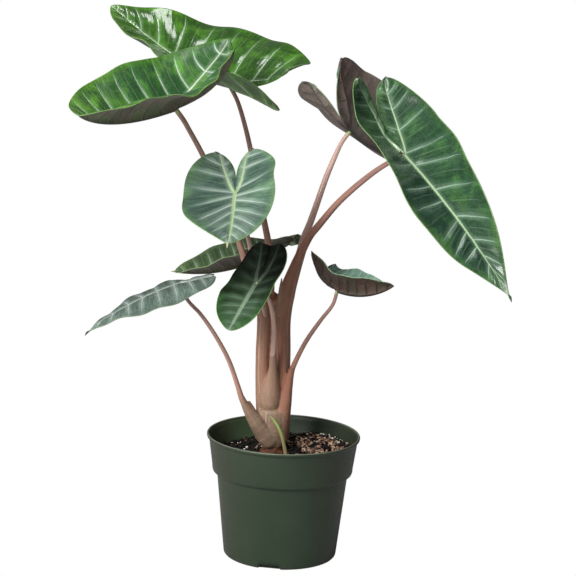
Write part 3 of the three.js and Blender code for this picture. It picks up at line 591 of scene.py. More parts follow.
def blade_axes(leaf):
    heading, pitch, roll = radians(leaf["heading"], leaf["pitch"], leaf["roll"])
    to_tip = Vector((math.cos(pitch) * math.cos(heading), math.cos(pitch) * math.sin(heading),
                     math.sin(pitch)))
    level = to_tip.cross(Vector((0, 0, 1))).normalized()
    up = level.cross(to_tip) * math.cos(roll) + level * math.sin(roll)
    return {"to_tip": to_tip, "up": up, "right": to_tip.cross(up)}


def outer_edge(leaf, y):
    """Distance from the midrib's line to the margin, with y along the midrib from the stalk's end."""
    lobe_tip = leaf["lobe_x"] * leaf["half"]
    if y < 0:
        share = min(1.0, -y / leaf["lobe"])
        return lobe_tip + (leaf["half"] - lobe_tip) * (1 - share ** LOBE_BLUNTNESS) ** LOBE_ROUNDNESS
    share = min(1.0, y / leaf["length"])
    arch = max(0.0, math.cos(math.pi / 2 * share ** leaf["taper"])) ** leaf["tip"]
    shoulder = 1 + leaf["swell"] * math.sin(math.pi * min(1.0, SWELL_STEEPNESS * share)) ** 2
    return leaf["half"] * arch * (1 - TIP_SLIMMING * share ** 5) * shoulder


def inner_edge(leaf, y):
    """Distance from the midrib's line to the edge of the notch between the lobes."""
    start = leaf["sinus"]
    share = min(1.0, (-y / leaf["lobe"] - start) / (1 - start))
    if share <= 0:
        return 0.0
    return leaf["lobe_x"] * leaf["half"] * (1 - (1 - share ** leaf["notch"]) ** NOTCH_ROUNDNESS)


def arc(bend, length, turn=0.0):
    """Run, rise and last direction of an arc that starts at the angle turn and bends evenly."""
    end = turn + bend * length
    if abs(bend) < 1e-9:
        return length * math.cos(turn), length * math.sin(turn), end
    return (math.sin(end) - math.sin(turn)) / bend, (math.cos(turn) - math.cos(end)) / bend, end


def lobe_arc(leaf, run, side):
    """The line through the back lobes: one arc where they are joined, and one each past the notch's end."""
    joined_run = leaf["sinus"] * leaf["lobe"]
    joined_bend = math.radians(sum(leaf["lift"]) / 2) / leaf["lobe"]
    along, rise, end = arc(joined_bend, min(run, joined_run))
    if run <= joined_run:
        return along, rise, end
    own_bend = (math.radians(leaf["lift"][side]) - joined_bend * joined_run) / (leaf["lobe"] - joined_run)
    own = arc(own_bend, run - joined_run, end)
    return along + own[0], rise + own[1], own[2]


def spine(leaf, axes, y, side):
    """Point on the midrib's line, and the blade's up and right directions there."""
    back = y < 0
    bend = -math.radians(leaf["droop"]) / leaf["length"]
    along, rise, end = lobe_arc(leaf, -y, side) if back else arc(bend, y)
    turn = -end if back else end
    share = 0.0 if back else y / leaf["length"]
    aside = 0.5 * leaf["length"] * math.tan(math.radians(leaf["sweep"])) * share ** 2
    point = Vector(leaf["at"]) + axes["to_tip"] * (-along if back else along)
    point += axes["up"] * rise + axes["right"] * aside
    level = axes["up"] * math.cos(turn) - axes["to_tip"] * math.sin(turn)
    twist = math.radians(leaf["twist"]) * share * smooth(share / TWIST_START)
    right = axes["right"] * math.cos(twist) - level * math.sin(twist)
    up = level * math.cos(twist) + axes["right"] * math.sin(twist)
    return point, up, right


def ready_leaf(name):
    """The sizes and vein layout of a leaf, with its veins' ends along the blade in millimetres."""
    leaf = {**LEAVES[name], **PLAIN_LAYOUT, **LAYOUTS[name]}
    leaf["ends"] = []
    for side in SIDES:
        pairs = ((1.0, 1.0),) + leaf["veins"][side] + ((-1.0, -1.0),)
        leaf["ends"].append([tuple(share * leaf["length" if share > 0 else "lobe"] for share in pair)
                             for pair in pairs])
    return leaf


def costa(leaf, side, y):
    """Distance of a lobe's rib from the midrib's line, and 0 in front of the stalk."""
    if y >= 0:
        return 0.0
    share = min(1.0, -y / leaf["lobe"])
    reach, bend = leaf["costa"][side]
    inner, outer = inner_edge(leaf, y), outer_edge(leaf, y)
    low = inner + COSTA_MARGIN * (outer - inner) * min(1.0, share / COSTA_START)
    return min(max(reach * leaf["half"] * share ** bend, low), inner + COSTA_LIMIT * (outer - inner))


def vein_line(leaf, side, place, across):
    """Height along the midrib of the vein number place, at a share of its way from the rib to the margin.

    Whole numbers are veins, counted from the tip. -1 is the tip, and the last one is the end of the lobe.
    """
    ends = leaf["ends"][side]
    first = min(len(ends) - 2, max(0, math.floor(place + 1)))
    part = place + 1 - first
    start, end = (a + (b - a) * part for a, b in zip(ends[first], ends[first + 1]))
    fade = min(1.0, ARCH_FADE * (1 - abs(start) / (leaf["length"] if start > 0 else leaf["lobe"])))
    arch = leaf["arch"] * leaf["length"] * math.sin(math.pi * across) * fade
    return start + (end - start) * across ** leaf["bow"][side] + arch


def row_height(leaf, row):
    """Height of a row at the ribs, from the tip in even steps to the end of the lobes."""
    return leaf["length"] - (leaf["length"] + leaf["lobe"]) * row / ROWS


def row_places(leaf, side):
    """Vein number of each row. A row lies on each vein, so that its crease is sharp."""
    starts = [pair[0] for pair in leaf["ends"][side][1:-1]]
    marks = [0]
    for start in starts:
        nearest = round((leaf["length"] - start) * ROWS / (leaf["length"] + leaf["lobe"]))
        marks.append(max(marks[-1] + 2, nearest))
    marks.append(ROWS)
    places = []
    for number, (first, last) in enumerate(zip(marks, marks[1:]), start=-1):
        places += [number + (row - first) / (last - first) for row in range(first, last)]
    return places + [len(starts)]


def inner_end(leaf, height):
    """Where a row from a lobe's rib meets the notch or the midrib's line, a little further back."""
    share = max(0.0, -height / leaf["lobe"])
    return height if share <= 0 else -leaf["lobe"] * (share + BACKWARD_BEND * share * (1 - share))


def grid_spot(leaf, side, row, place, column):
    """Distance from the midrib's line, height, and share of the way from the rib, at a vertex of the grid.

    The first columns run from the notch or the midrib's line to a lobe's rib, the others on to the margin.
    """
    if column < len(INNER_COLUMNS):
        across, height = INNER_COLUMNS[column], row_height(leaf, row)
        if height >= 0:
            return 0.0, height, 0.0
        start, end = vein_line(leaf, side, place, 0), inner_end(leaf, height)
        y = start + (end - start) * across
        rib, edge = costa(leaf, side, y), inner_edge(leaf, y)
        return rib + (edge - rib) * across, y, -across
    across = OUTER_COLUMNS[column - len(INNER_COLUMNS)]
    y = vein_line(leaf, side, place, across)
    height = row_height(leaf, row)
    if height >= 0:
        y += (height - vein_line(leaf, side, place, 0)) * max(0.0, 1 - across / EVEN_ROWS) ** 2
    y = min(leaf["length"], max(-leaf["lobe"], y))
    x = costa(leaf, side, y) * (1 - across) + outer_edge(leaf, vein_line(leaf, side, place, 1)) * across
    return min(x, outer_edge(leaf, y)), y, across


def vein_gap(leaf, side, place, across):
    """Distance from vein to vein, square to them, in millimetres."""
    across = abs(across)
    behind, ahead = (vein_line(leaf, side, place + step, across) for step in (-GAP_STEP, GAP_STEP))
    apart = abs(ahead - behind) / (2 * GAP_STEP)
    here, outwards = (vein_line(leaf, side, place, across + step) for step in (0, SLOPE_STEP))
    slope = (outwards - here) / SLOPE_STEP
    end = vein_line(leaf, side, place, 1)
    run = outer_edge(leaf, end) - costa(leaf, side, end)
    return apart / math.hypot(1, slope / max(LEAST_RUN * leaf["half"], run))


def blade_point(leaf, axes, side, row, place, column, thickness):
    """Where a point of the top face lies, in millimetres, and what its material and thickness need."""
    hand = -1 if side else 1
    x, y, across = grid_spot(leaf, side, row, place, column)
    width = max(outer_edge(leaf, y), 1e-6)
    point, up, right = spine(leaf, axes, y, side)
    lobe_share = max(0.0, -y / leaf["lobe"])
    flatter = 1 - TIP_FLATTENING * max(0.0, y / leaf["length"]) ** 3
    fold = leaf["fold"][side] * flatter
    fold += (leaf["lobe_fold"][side] - fold) * smooth((TURN_START - y / leaf["lobe"]) / TURN_LENGTH)
    angle = math.radians(fold + 0.5 * leaf["curl"][side] * x / leaf["half"])
    out = right * (hand * math.cos(angle)) + up * math.sin(angle)
    normal = up * math.cos(angle) - right * (hand * math.sin(angle))
    cycle = leaf["waves"] * (y + leaf["lobe"]) / (leaf["length"] + leaf["lobe"]) + leaf["phase"][side]
    fade = min(1.0, width / (WAVED_SHARE * leaf["half"]))
    wave = leaf["wave"][side] * min(1.0, x / width) ** 2 * math.sin(TAU * cycle)
    last = len(leaf["veins"][side]) - 0.5
    held = min(last, max(-0.5, place))
    off = 2 * abs(held - round(held))
    middle = math.sin(math.pi * min(1, abs(across) * QUILT_REACH))
    bulge = leaf["quilt"] * (1 - (1 - off) ** QUILT_POWER) * middle
    rib_x = costa(leaf, side, y)
    lean = (rib_x - costa(leaf, side, y + 1)) if y < -1 else 0.0
    rib = (x - rib_x) / math.hypot(1, lean)
    ridge = math.exp(-(rib / RIB_SPREAD) ** 2)
    crease = CREASE_SHARE * leaf["half"]
    face = normal if x > crease else up.lerp(normal, x / crease).normalized()
    lifted = (wave + bulge) * fade * normal + face * fade * (thickness / 2 - GROOVE_DEPTH * ridge)
    if across < 0:
        edge = x - inner_edge(leaf, y) + (NO_EDGE if -y < leaf["sinus"] * leaf["lobe"] else 0)
    else:
        edge = width - x
    if y >= 0:
        left = 1 - y / leaf["length"]
        rib_depth = math.sqrt(max(0.0, left))
        strength = RIB_AT_TIP + (1 - RIB_AT_TIP) * left ** RIB_FADE
    else:
        rib_depth = LOBE_RIB_DEPTH * (1 - lobe_share)
        strength = LOBE_RIB
    return {
        "co": point + out * x + lifted,
        "place": Vector((held, across, rib)),
        "form": Vector((edge, strength, lobe_share)),
        "lay": Vector((vein_gap(leaf, side, held, across), y / leaf["length" if y > 0 else "lobe"], side)),
        "depth": 1 + MIDRIB_DEPTH / thickness * ridge * rib_depth,
    }


def blade_sheet(leaf, thickness):
    """Top face of a blade: two fine grids joined along the midrib."""
    bm = bmesh.new()
    layers = {name: bm.verts.layers.float_vector.new(name) for name in ("place", "form", "lay")}
    weights = bm.verts.layers.deform.verify()
    axes = blade_axes(leaf)
    columns = len(INNER_COLUMNS) + len(OUTER_COLUMNS) - 1
    deepest = 1 + MIDRIB_DEPTH / thickness

    for side in SIDES:
        places = row_places(leaf, side)

        def put(vert, across, along, side=side, places=places):
            row = round(along * ROWS)
            made = blade_point(leaf, axes, side, row, places[row], round(across * columns), thickness)
            vert.co = made["co"] * MM
            for name, layer in layers.items():
                vert[layer] = made[name]
            vert[weights][0] = made["depth"] / deepest

        mapped_grid(bm, columns, ROWS, put)
    bmesh.ops.remove_doubles(bm, verts=bm.verts, dist=BLADE_WELD)
    bmesh.ops.recalc_face_normals(bm, faces=bm.faces)
    facing = sum((face.normal for face in bm.faces), Vector())
    if facing.dot(axes["up"]) < 0:
        bmesh.ops.reverse_faces(bm, faces=bm.faces)
    return bm, deepest


def blade(name, settings):
    bm, deepest = blade_sheet(ready_leaf(name), settings.thickness / MM)
    look = LOOKS[name]
    materials = [top_material(name, look), under_material(name, look), margin_material(name, look)]
    piece = finished(f"leaf_{name}", bm, materials, [f"blade_{name}"])
    piece.vertex_groups.new(name="thickness")
    shell = piece.modifiers.new("thickness", "SOLIDIFY")
    shell.thickness = settings.thickness * deepest
    shell.offset = -1
    shell.vertex_group = "thickness"
    shell.use_even_offset = False
    shell.material_offset = 1
    shell.material_offset_rim = 2
    return piece


def blade_tip(name, settings):
    """The slender, drooping end of a blade."""
    leaf, tip = ready_leaf(name), TIPS[name]
    axes, places, column = blade_axes(leaf), row_places(leaf, 0), len(INNER_COLUMNS)
    end, before = (blade_point(leaf, axes, 0, row, places[row], column, settings.thickness / MM)["co"]
                   for row in (0, TIP_ROWS))
    ahead = (end - before).normalized()
    fall = Vector((0, 0, -tip["droop"]))
    half = tip["length"] / 2
    knee = end + (ahead + fall * TIP_FIRST_FALL).normalized() * half
    route = (end - ahead * TIP_OVERLAP, end, knee, knee + (ahead + fall).normalized() * half)
    radii = [share * tip["radius"] for share in TIP_RADII]
    bm = new_skin()
    tube(bm, [tuple(point) for point in route], radii, around=16, steps=6)
    colour = linear(tip["colour"])
    skin = stalk_material(f"tip_{name}", colour, colour, colour)
    return finished(f"tip_{name}", facing_out(bm), [skin], [])


def blade_curl(settings):
    """The rolled end of one lobe of the leaf behind the others."""
    bm = bmesh.new()
    tones = bm.verts.layers.float.new("tone")
    outer, inner = CURL_RADII
    aside = CURL_AXIS.cross(Vector((0, 0, 1))).normalized()
    above = aside.cross(CURL_AXIS)

    def put(vert, across, along):
        turn = math.pi - TAU * CURL_TURNS * along
        radius = outer + (inner - outer) * along
        rim = CURL_AT + CURL_AXIS * (across - 0.5) * CURL_WIDTH
        vert.co = (rim + (aside * math.cos(turn) + above * math.sin(turn)) * radius) * MM
        vert[tones] = along

    mapped_grid(bm, 8, 60, put)
    bmesh.ops.recalc_face_normals(bm, faces=bm.faces)
    # Painted shade: the colour darkens turn by turn into the roll
    skin = toned_material("curl", CURL_COLOURS, 0.5, 160)
    piece = finished("curl_middle_back", bm, [skin], [])
    shell = piece.modifiers.new("thickness", "SOLIDIFY")
    shell.thickness = settings.thickness
    return piece


# Stalks and sheaths

def curve_point(points, share):
    """Point and direction on a centripetal curve through the points, at a share of its stretches."""
    stretches = len(points) - 1
    first = min(stretches - 1, int(share * stretches))
    part = share * stretches - first
    here, after = Vector(points[first]), Vector(points[first + 1])
    before = Vector(points[first - 1]) if first else here * 2 - after
    beyond = Vector(points[first + 2]) if first + 2 < len(points) else after * 2 - here
    pairs = ((before, here), (here, after), (after, beyond))
    step0, step1, step2 = ((b - a).length ** 0.5 for a, b in pairs)
    start = ((here - before) / step0 - (after - before) / (step0 + step1) + (after - here) / step1) * step1
    end = ((after - here) / step1 - (beyond - here) / (step1 + step2) + (beyond - after) / step2) * step1
    low, high = here * 2 - after * 2 + start + end, after * 3 - here * 3 - start * 2 - end
    point = low * part ** 3 + high * part ** 2 + start * part + here
    return point, (low * 3 * part ** 2 + high * 2 * part + start).normalized()


def tube(bm, route, radii, around=28, steps=7, seam=None, lip=0.0, deep=1.0, tone=0.5):
    """A tapering tube with rounded ends. Its wall winds outwards by lip and drops back at the seam."""
    skin, tones = bm.verts.layers.float_vector["skin"], bm.verts.layers.float["tone"]
    stretches = len(route) - 1
    length = sum((Vector(b) - Vector(a)).length for a, b in zip(route, route[1:]))
    front = Vector((0, -1, 0))

    def put(vert, across, along):
        share = min(1.0, max(0.0, (along - TUBE_END) / (1 - 2 * TUBE_END)))
        inset = min(along, 1 - along) / TUBE_END
        first = min(stretches - 1, int(share * stretches))
        radius = radii[first] + (radii[first + 1] - radii[first]) * (share * stretches - first)
        point, tangent = curve_point(route, share)
        if inset < 1:
            outwards = -1 if along < 0.5 else 1
            point = point + tangent * (math.cos(inset * math.pi / 2) * radius * 0.5 * outwards)
            radius *= math.sin(inset * math.pi / 2)
        turn = across * TAU
        if seam is not None:
            radius += lip * (((turn - math.radians(seam)) / TAU) % 1.0 - 0.5)
        aside = front.cross(tangent).normalized()
        forward = tangent.cross(aside)
        vert.co = (point - aside * math.cos(turn) * radius - forward * math.sin(turn) * radius * deep) * MM
        from_seam = ((turn - math.radians(seam or 0)) / TAU) % 1.0
        vert[skin] = Vector((from_seam * TAU * max(radii), share * length, share))
        vert[tones] = tone

    verts = mapped_grid(bm, around, stretches * steps, put)
    bmesh.ops.remove_doubles(bm, verts=verts, dist=WELD)


def new_skin():
    bm = bmesh.new()
    bm.verts.layers.float_vector.new("skin")
    bm.verts.layers.float.new("tone")
    return bm


def facing_out(bm):
    bmesh.ops.recalc_face_normals(bm, faces=bm.faces)
    return bm


def grown_together(piece, voxel, rounds=6):
    """Melts the overlapping tubes of a piece into one skin, which keeps their skin and tone attributes."""
    old = piece.data
    near = kdtree.KDTree(len(old.vertices))
    for vert in old.vertices:
        near.insert(vert.co, vert.index)
    near.balance()
    melt = piece.modifiers.new("melt", "REMESH")
    melt.mode = "VOXEL"
    melt.voxel_size = voxel * MM
    round_off = piece.modifiers.new("round_off", "SMOOTH")
    round_off.factor = 0.5
    round_off.iterations = rounds
    mesh = baked(piece)
    skins = [value.vector.copy() for value in old.attributes["skin"].data]
    tones = [value.value for value in old.attributes["tone"].data]
    nearest = [near.find(vert.co)[1] for vert in mesh.vertices]
    shades = [tones[i] for i in nearest]
    links = [tuple(edge.vertices) for edge in mesh.edges]
    for _ in range(TONE_ROUNDS):
        sums, counts = list(shades), [1] * len(shades)
        for a, b in links:
            sums[a] += shades[b]
            sums[b] += shades[a]
            counts[a] += 1
            counts[b] += 1
        shades = [part / count for part, count in zip(sums, counts)]
    mesh.attributes.new("skin", "FLOAT_VECTOR", "POINT")
    mesh.attributes.new("tone", "FLOAT", "POINT")
    mesh.attributes["skin"].data.foreach_set("vector", [value for i in nearest for value in skins[i]])
    mesh.attributes["tone"].data.foreach_set("value", shades)
    mesh.shade_smooth()
    piece.data = mesh
    bpy.data.meshes.remove(old)


def baked(piece):
    """The piece's mesh with its modifiers carried out. They are taken off the piece."""
    bpy.context.view_layer.update()
    mesh = bpy.data.meshes.new_from_object(piece.evaluated_get(bpy.context.evaluated_depsgraph_get()))
    mesh.name = f"{piece.data.name}_baked"
    piece.modifiers.clear()
    return mesh


# Shader helpers

def linear(code):
    """Linear colour of a display colour such as 2c5a24, by the usual display curve."""
    shares = [int(code[i:i + 2], 16) / 255 for i in (0, 2, 4)]
    return tuple(s / 12.92 if s <= 0.04045 else ((s + 0.055) / 1.055) ** 2.4 for s in shares) + (1.0,)


def tint(name):
    return linear(COLOURS[name])


def plug(tree, value, socket):
    """Sets a socket to a value, or links another node's output to it."""
    if isinstance(value, bpy.types.NodeSocket):
        tree.links.new(value, socket)
    else:
        socket.default_value = value


def put_node(tree, kind, inputs=None, **settings):
    """A new node. Each input is a value, or another node's output to link."""
    made = tree.nodes.new(kind)
    for name, value in settings.items():
        setattr(made, name, value)
    for key, value in (inputs or {}).items():
        plug(tree, value, made.inputs[key])
    return made


def maths(tree, operation, first, second=0.0):
    inputs = {0: first} if operation in ("ROUND", "ABSOLUTE", "SQRT") else {0: first, 1: second}
    return put_node(tree, "ShaderNodeMath", inputs, operation=operation).outputs[0]


def product(tree, *factors):
    result = factors[0]
    for factor in factors[1:]:
        result = maths(tree, "MULTIPLY", result, factor)
    return result


def total(tree, *terms):
    result = terms[0]
    for term in terms[1:]:
        result = maths(tree, "ADD", result, term)
    return result


def between(tree, value, low, high, out_low=0.0, out_high=1.0, smoothly=True):
    """The value carried from low..high to out_low..out_high, held at both ends."""
    kind = "SMOOTHSTEP" if smoothly else "LINEAR"
    inputs = {0: value, 1: low, 2: high, 3: out_low, 4: out_high}
    return put_node(tree, "ShaderNodeMapRange", inputs, interpolation_type=kind).outputs[0]


def mixed(tree, share, first, second, mode="MIX"):
    inputs = {0: share, 6: first, 7: second}
    return put_node(tree, "ShaderNodeMix", inputs, data_type="RGBA", blend_type=mode).outputs[2]


def toned(tree, colour, tone):
    """The colour made lighter or darker by the factor tone."""
    grey = put_node(tree, "ShaderNodeCombineColor", {0: tone, 1: tone, 2: tone}).outputs[0]
    return mixed(tree, 1.0, colour, grey, "MULTIPLY")


def own_place(tree):
    """The piece's own coordinates, in metres."""
    return put_node(tree, "ShaderNodeTexCoord").outputs["Object"]


def attribute(tree, name, output="Vector"):
    return put_node(tree, "ShaderNodeAttribute", attribute_name=name).outputs[output]


def split(tree, vector):
    """The three numbers of a vector."""
    return put_node(tree, "ShaderNodeSeparateXYZ", {0: vector}).outputs


def grain(tree, scale, detail=3.0, roughness=0.55, distortion=0.0, vector=None):
    """Noise on the piece's own coordinates, or on another vector."""
    inputs = {"Vector": vector or own_place(tree), "Scale": scale, "Detail": detail, "Roughness": roughness,
              "Distortion": distortion}
    return put_node(tree, "ShaderNodeTexNoise", inputs).outputs["Fac"]


def drawn_out(tree, vector, scales, detail=3, roughness=0.6, distortion=0.0):
    """Noise stretched by one scale along each of a vector's directions, such as fibres and bands."""
    stretched = put_node(tree, "ShaderNodeVectorMath", {0: vector, 1: scales}, operation="MULTIPLY")
    return grain(tree, 1.0, detail, roughness, distortion, stretched.outputs[0])


def principled(name):
    material = bpy.data.materials.new(name)
    material.use_nodes = True
    return material, material.node_tree, material.node_tree.nodes["Principled BSDF"]


def dress(tree, shader, colour, rough, height=None, strength=0.0, depth=0.0):
    """Gives a surface its colour and roughness, and a relief that is so many millimetres deep."""
    plug(tree, colour, shader.inputs["Base Color"])
    plug(tree, rough, shader.inputs["Roughness"])
    if height is not None:
        inputs = {"Height": height, "Strength": strength, "Distance": depth * MM}
        plug(tree, put_node(tree, "ShaderNodeBump", inputs).outputs[0], shader.inputs["Normal"])


def new_group(name, inputs):
    """A shader group with the float inputs {name: default}, and those inputs' sockets."""
    tree = bpy.data.node_groups.new(name, "ShaderNodeTree")
    for label, default in inputs.items():
        socket = tree.interface.new_socket(label, in_out="INPUT", socket_type="NodeSocketFloat")
        socket.default_value = default
    return tree, put_node(tree, "NodeGroupInput").outputs


def give_out(tree, outputs):
    """Makes the float outputs {name: socket} of a shader group."""
    for label in outputs:
        tree.interface.new_socket(label, in_out="OUTPUT", socket_type="NodeSocketFloat")
    put_node(tree, "NodeGroupOutput", outputs)
    return tree


# Materials of the blades

def leaf_pattern():
    """Masks of a blade: ribs, veins and their pale edges, thin veins, net, margin, mottling and relief."""
    if "leaf_pattern" in bpy.data.node_groups:
        return bpy.data.node_groups["leaf_pattern"]
    tree, given = new_group("leaf_pattern", {"Vein Width": 1.5, "Rib Width": 3.0, "Haze Width": 5.0})
    place, form, lay = (split(tree, attribute(tree, name)) for name in ("place", "form", "lay"))
    across = maths(tree, "ABSOLUTE", place[1])
    wander = product(tree, maths(tree, "SUBTRACT", grain(tree, 48), 0.5), VEIN_WANDER, across)
    line = maths(tree, "ADD", place[0], wander)
    off = maths(tree, "ABSOLUTE", maths(tree, "SUBTRACT", line, maths(tree, "ROUND", line)))
    distance = product(tree, off, lay[0])

    towards_midrib = between(tree, place[1], *INNER_VEINS)
    taper = between(tree, across, 0, 1, *VEIN_TAPER, smoothly=False)
    width = product(tree, given["Vein Width"], taper, towards_midrib)
    vein = between(tree, distance, width, product(tree, width, VEIN_CORE))
    strength = between(tree, grain(tree, 26, detail=2), 0.36, 0.6, FAINTEST_VEIN, 1)
    vein = product(tree, vein, between(tree, across, *VEIN_END), strength)

    rib_taper = between(tree, form[2], 0, 0.9, 1, LOBE_RIB_END, smoothly=False)
    rib_width = product(tree, given["Rib Width"], 0.5, form[1], rib_taper)
    rib_away = maths(tree, "ABSOLUTE", place[2])
    rib = between(tree, rib_away, rib_width, product(tree, rib_width, RIB_CORE))

    vein_haze = product(tree, between(tree, distance, given["Haze Width"], 0),
                        between(tree, across, *HAZE_END))
    rib_haze = between(tree, rib_away, product(tree, given["Haze Width"], RIB_HAZE), 0)

    from_middle = product(tree, maths(tree, "SUBTRACT", 0.5, off), lay[0])
    thin = product(tree, between(tree, from_middle, *THIN_VEIN), between(tree, across, *THIN_START),
                   between(tree, across, *THIN_END))
    cells = put_node(tree, "ShaderNodeTexVoronoi", {"Vector": own_place(tree), "Scale": NET_SCALE},
                     feature="DISTANCE_TO_EDGE").outputs["Distance"]
    along = put_node(tree, "ShaderNodeCombineXYZ",
                     {0: place[0], 1: product(tree, place[1], STREAK_LENGTH), 2: lay[2]}).outputs[0]
    return give_out(tree, {
        "Rib": rib,
        "Vein": vein,
        "Haze": maths(tree, "MAXIMUM", vein_haze, rib_haze),
        "Thin": thin,
        "Net": between(tree, cells, *NET_LINE),
        "Margin": between(tree, form[0], *MARGIN_LINE),
        "Mottle": grain(tree, 30, 4, 0.6, 0.6),
        "Streak": grain(tree, 11.0, 4, 0.65, 0.5, along),
        "Relief": grain(tree, 5.0, 1, 0.4, 0.3, along),
        "Quilt": between(tree, off, 0.0, 0.5),
    })


def leaf_brightness():
    """How much of the bright green shows, from 0 to 1."""
    if "leaf_brightness" in bpy.data.node_groups:
        return bpy.data.node_groups["leaf_brightness"]
    tree, given = new_group("leaf_brightness", {"Mottle": 0.5, "Base": 0.1, "Margin": 0.5, "Tip": 0.2,
                                                "Left": 0.0, "Patches": 0.5})
    form, lay = (split(tree, attribute(tree, name)) for name in ("form", "lay"))
    bright = total(tree, given["Base"], product(tree, given["Left"], lay[2]),
                   product(tree, given["Margin"], between(tree, form[0], *BRIGHT_MARGIN)),
                   product(tree, given["Tip"], between(tree, lay[1], *BRIGHT_TIP)),
                   product(tree, given["Patches"], between(tree, given["Mottle"], *BRIGHT_PATCHES)))
    return give_out(tree, {"Bright": between(tree, bright, 0, 1, 0, 1, smoothly=False)})


def pattern_of(tree, look, wider=1.0):
    vein, rib = look["widths"]
    inputs = {"Vein Width": vein * wider, "Rib Width": rib, "Haze Width": look["haze"][1]}
    return put_node(tree, "ShaderNodeGroup", inputs, node_tree=leaf_pattern()).outputs


def top_colour(tree, look, masks):
    """Colour of a blade's top face."""
    labels = ("Base", "Margin", "Tip", "Left", "Patches")
    inputs = {"Mottle": masks["Mottle"], **dict(zip(labels, look["bright_at"]))}
    bright = put_node(tree, "ShaderNodeGroup", inputs, node_tree=leaf_brightness()).outputs["Bright"]
    colour = mixed(tree, bright, linear(look["deep"]), linear(look["bright"]))
    # Painted shade: the blade is darker from one share of its length to another, and its veins and ribs
    # nearly as much
    amount, low, high = look.get("shade", PLAIN_SHADE)
    lit = between(tree, split(tree, attribute(tree, "lay"))[1], low, high)
    tone = product(tree, between(tree, masks["Mottle"], 0.32, 0.68, *MOTTLE_TONES, smoothly=False),
                   between(tree, masks["Streak"], 0.32, 0.68, *STREAK_TONES, smoothly=False),
                   between(tree, masks["Quilt"], 0, 1, *QUILT_TONES),
                   between(tree, lit, 0, 1, 1 - amount, 1))
    colour = toned(tree, colour, tone)
    line_tone = between(tree, lit, 0, 1, 1 - SHADED_LINES * amount, 1)
    pale = toned(tree, linear(look["vein"]), line_tone)
    for label, strength in {"Net": 0.03, "Thin": 0.13, "Haze": look["haze"][0], "Vein": 0.9}.items():
        colour = mixed(tree, product(tree, masks[label], strength), colour, pale)
    colour = mixed(tree, masks["Rib"], colour, toned(tree, linear(look["rib"]), line_tone))
    return mixed(tree, product(tree, masks["Margin"], 0.5, lit), colour, tint("margin"))


def top_material(name, look):
    material, tree, shader = principled(f"blade_top_{name}")
    masks = pattern_of(tree, look)
    gloss, mirror = look["gloss"]
    fine = grain(tree, 700, detail=2)
    rough = between(tree, fine, 0.3, 0.7, gloss - GLOSS_SPREAD[0], gloss + GLOSS_SPREAD[1], smoothly=False)
    wide_gaps = between(tree, split(tree, attribute(tree, "lay"))[0], *PUCKERED_GAPS)
    height = total(tree, product(tree, fine, 0.03), grain(tree, 90, 2, 0.4),
                   product(tree, masks["Relief"], PUCKER_HEIGHT, wide_gaps),
                   *(product(tree, masks[label], rise) for label, rise in TOP_RELIEF.items()))
    dress(tree, shader, top_colour(tree, look, masks), rough, height, strength=0.55, depth=0.8)
    shader.inputs["Specular IOR Level"].default_value = mirror
    return material


def under_material(name, look):
    material, tree, shader = principled(f"blade_under_{name}")
    masks = pattern_of(tree, look, wider=0.9)
    base, patch = (linear(code) for code in look["under"])
    dark = tuple(LINE_DARKNESS * value for value in base[:3]) + (1.0,)
    colour = mixed(tree, between(tree, masks["Mottle"], 0.42, 0.6), base, patch)
    colour = toned(tree, colour, between(tree, grain(tree, 22), 0.3, 0.7, 0.7, 1.45, smoothly=False))
    colour = toned(tree, colour, between(tree, masks["Streak"], 0.3, 0.7, 0.8, 1.25, smoothly=False))
    for label, strength in UNDER_LINES.items():
        colour = mixed(tree, product(tree, masks[label], strength), colour, dark)
    if name in GREEN_BELOW:
        green = between(tree, split(tree, attribute(tree, "form"))[2], 0.12, 0.4)
        colour = mixed(tree, green, colour, top_colour(tree, look, masks))
    height = total(tree, product(tree, masks["Vein"], 1.4), product(tree, masks["Net"], 0.25),
                   product(tree, grain(tree, 160), 0.8))
    dress(tree, shader, colour, 0.42, height, strength=0.6, depth=0.7)
    return material


def margin_material(name, look):
    material, tree, shader = principled(f"blade_margin_{name}")
    dress(tree, shader, mixed(tree, grain(tree, 90), linear(look["bright"]), tint("margin")), 0.45)
    return material


# Materials of the stalks and sheaths

def stalk_material(name, base, end, joint):
    """Stalk skin: streaked along its length, from the base colour to the end colour, pale at the blade."""
    material, tree, shader = principled(f"stalk_{name}")
    skin = attribute(tree, "skin")
    share = split(tree, skin)[2]
    streaks = drawn_out(tree, skin, (0.7, 0.03, 1.0))
    colour = mixed(tree, between(tree, share, 0.05, 0.9), base, end)
    colour = mixed(tree, between(tree, share, 0.94, 0.99), colour, joint)
    colour = toned(tree, colour, between(tree, streaks, 0.3, 0.7, 0.7, 1.3))
    dress(tree, shader, colour, 0.42, streaks, strength=0.35, depth=0.5)
    return material


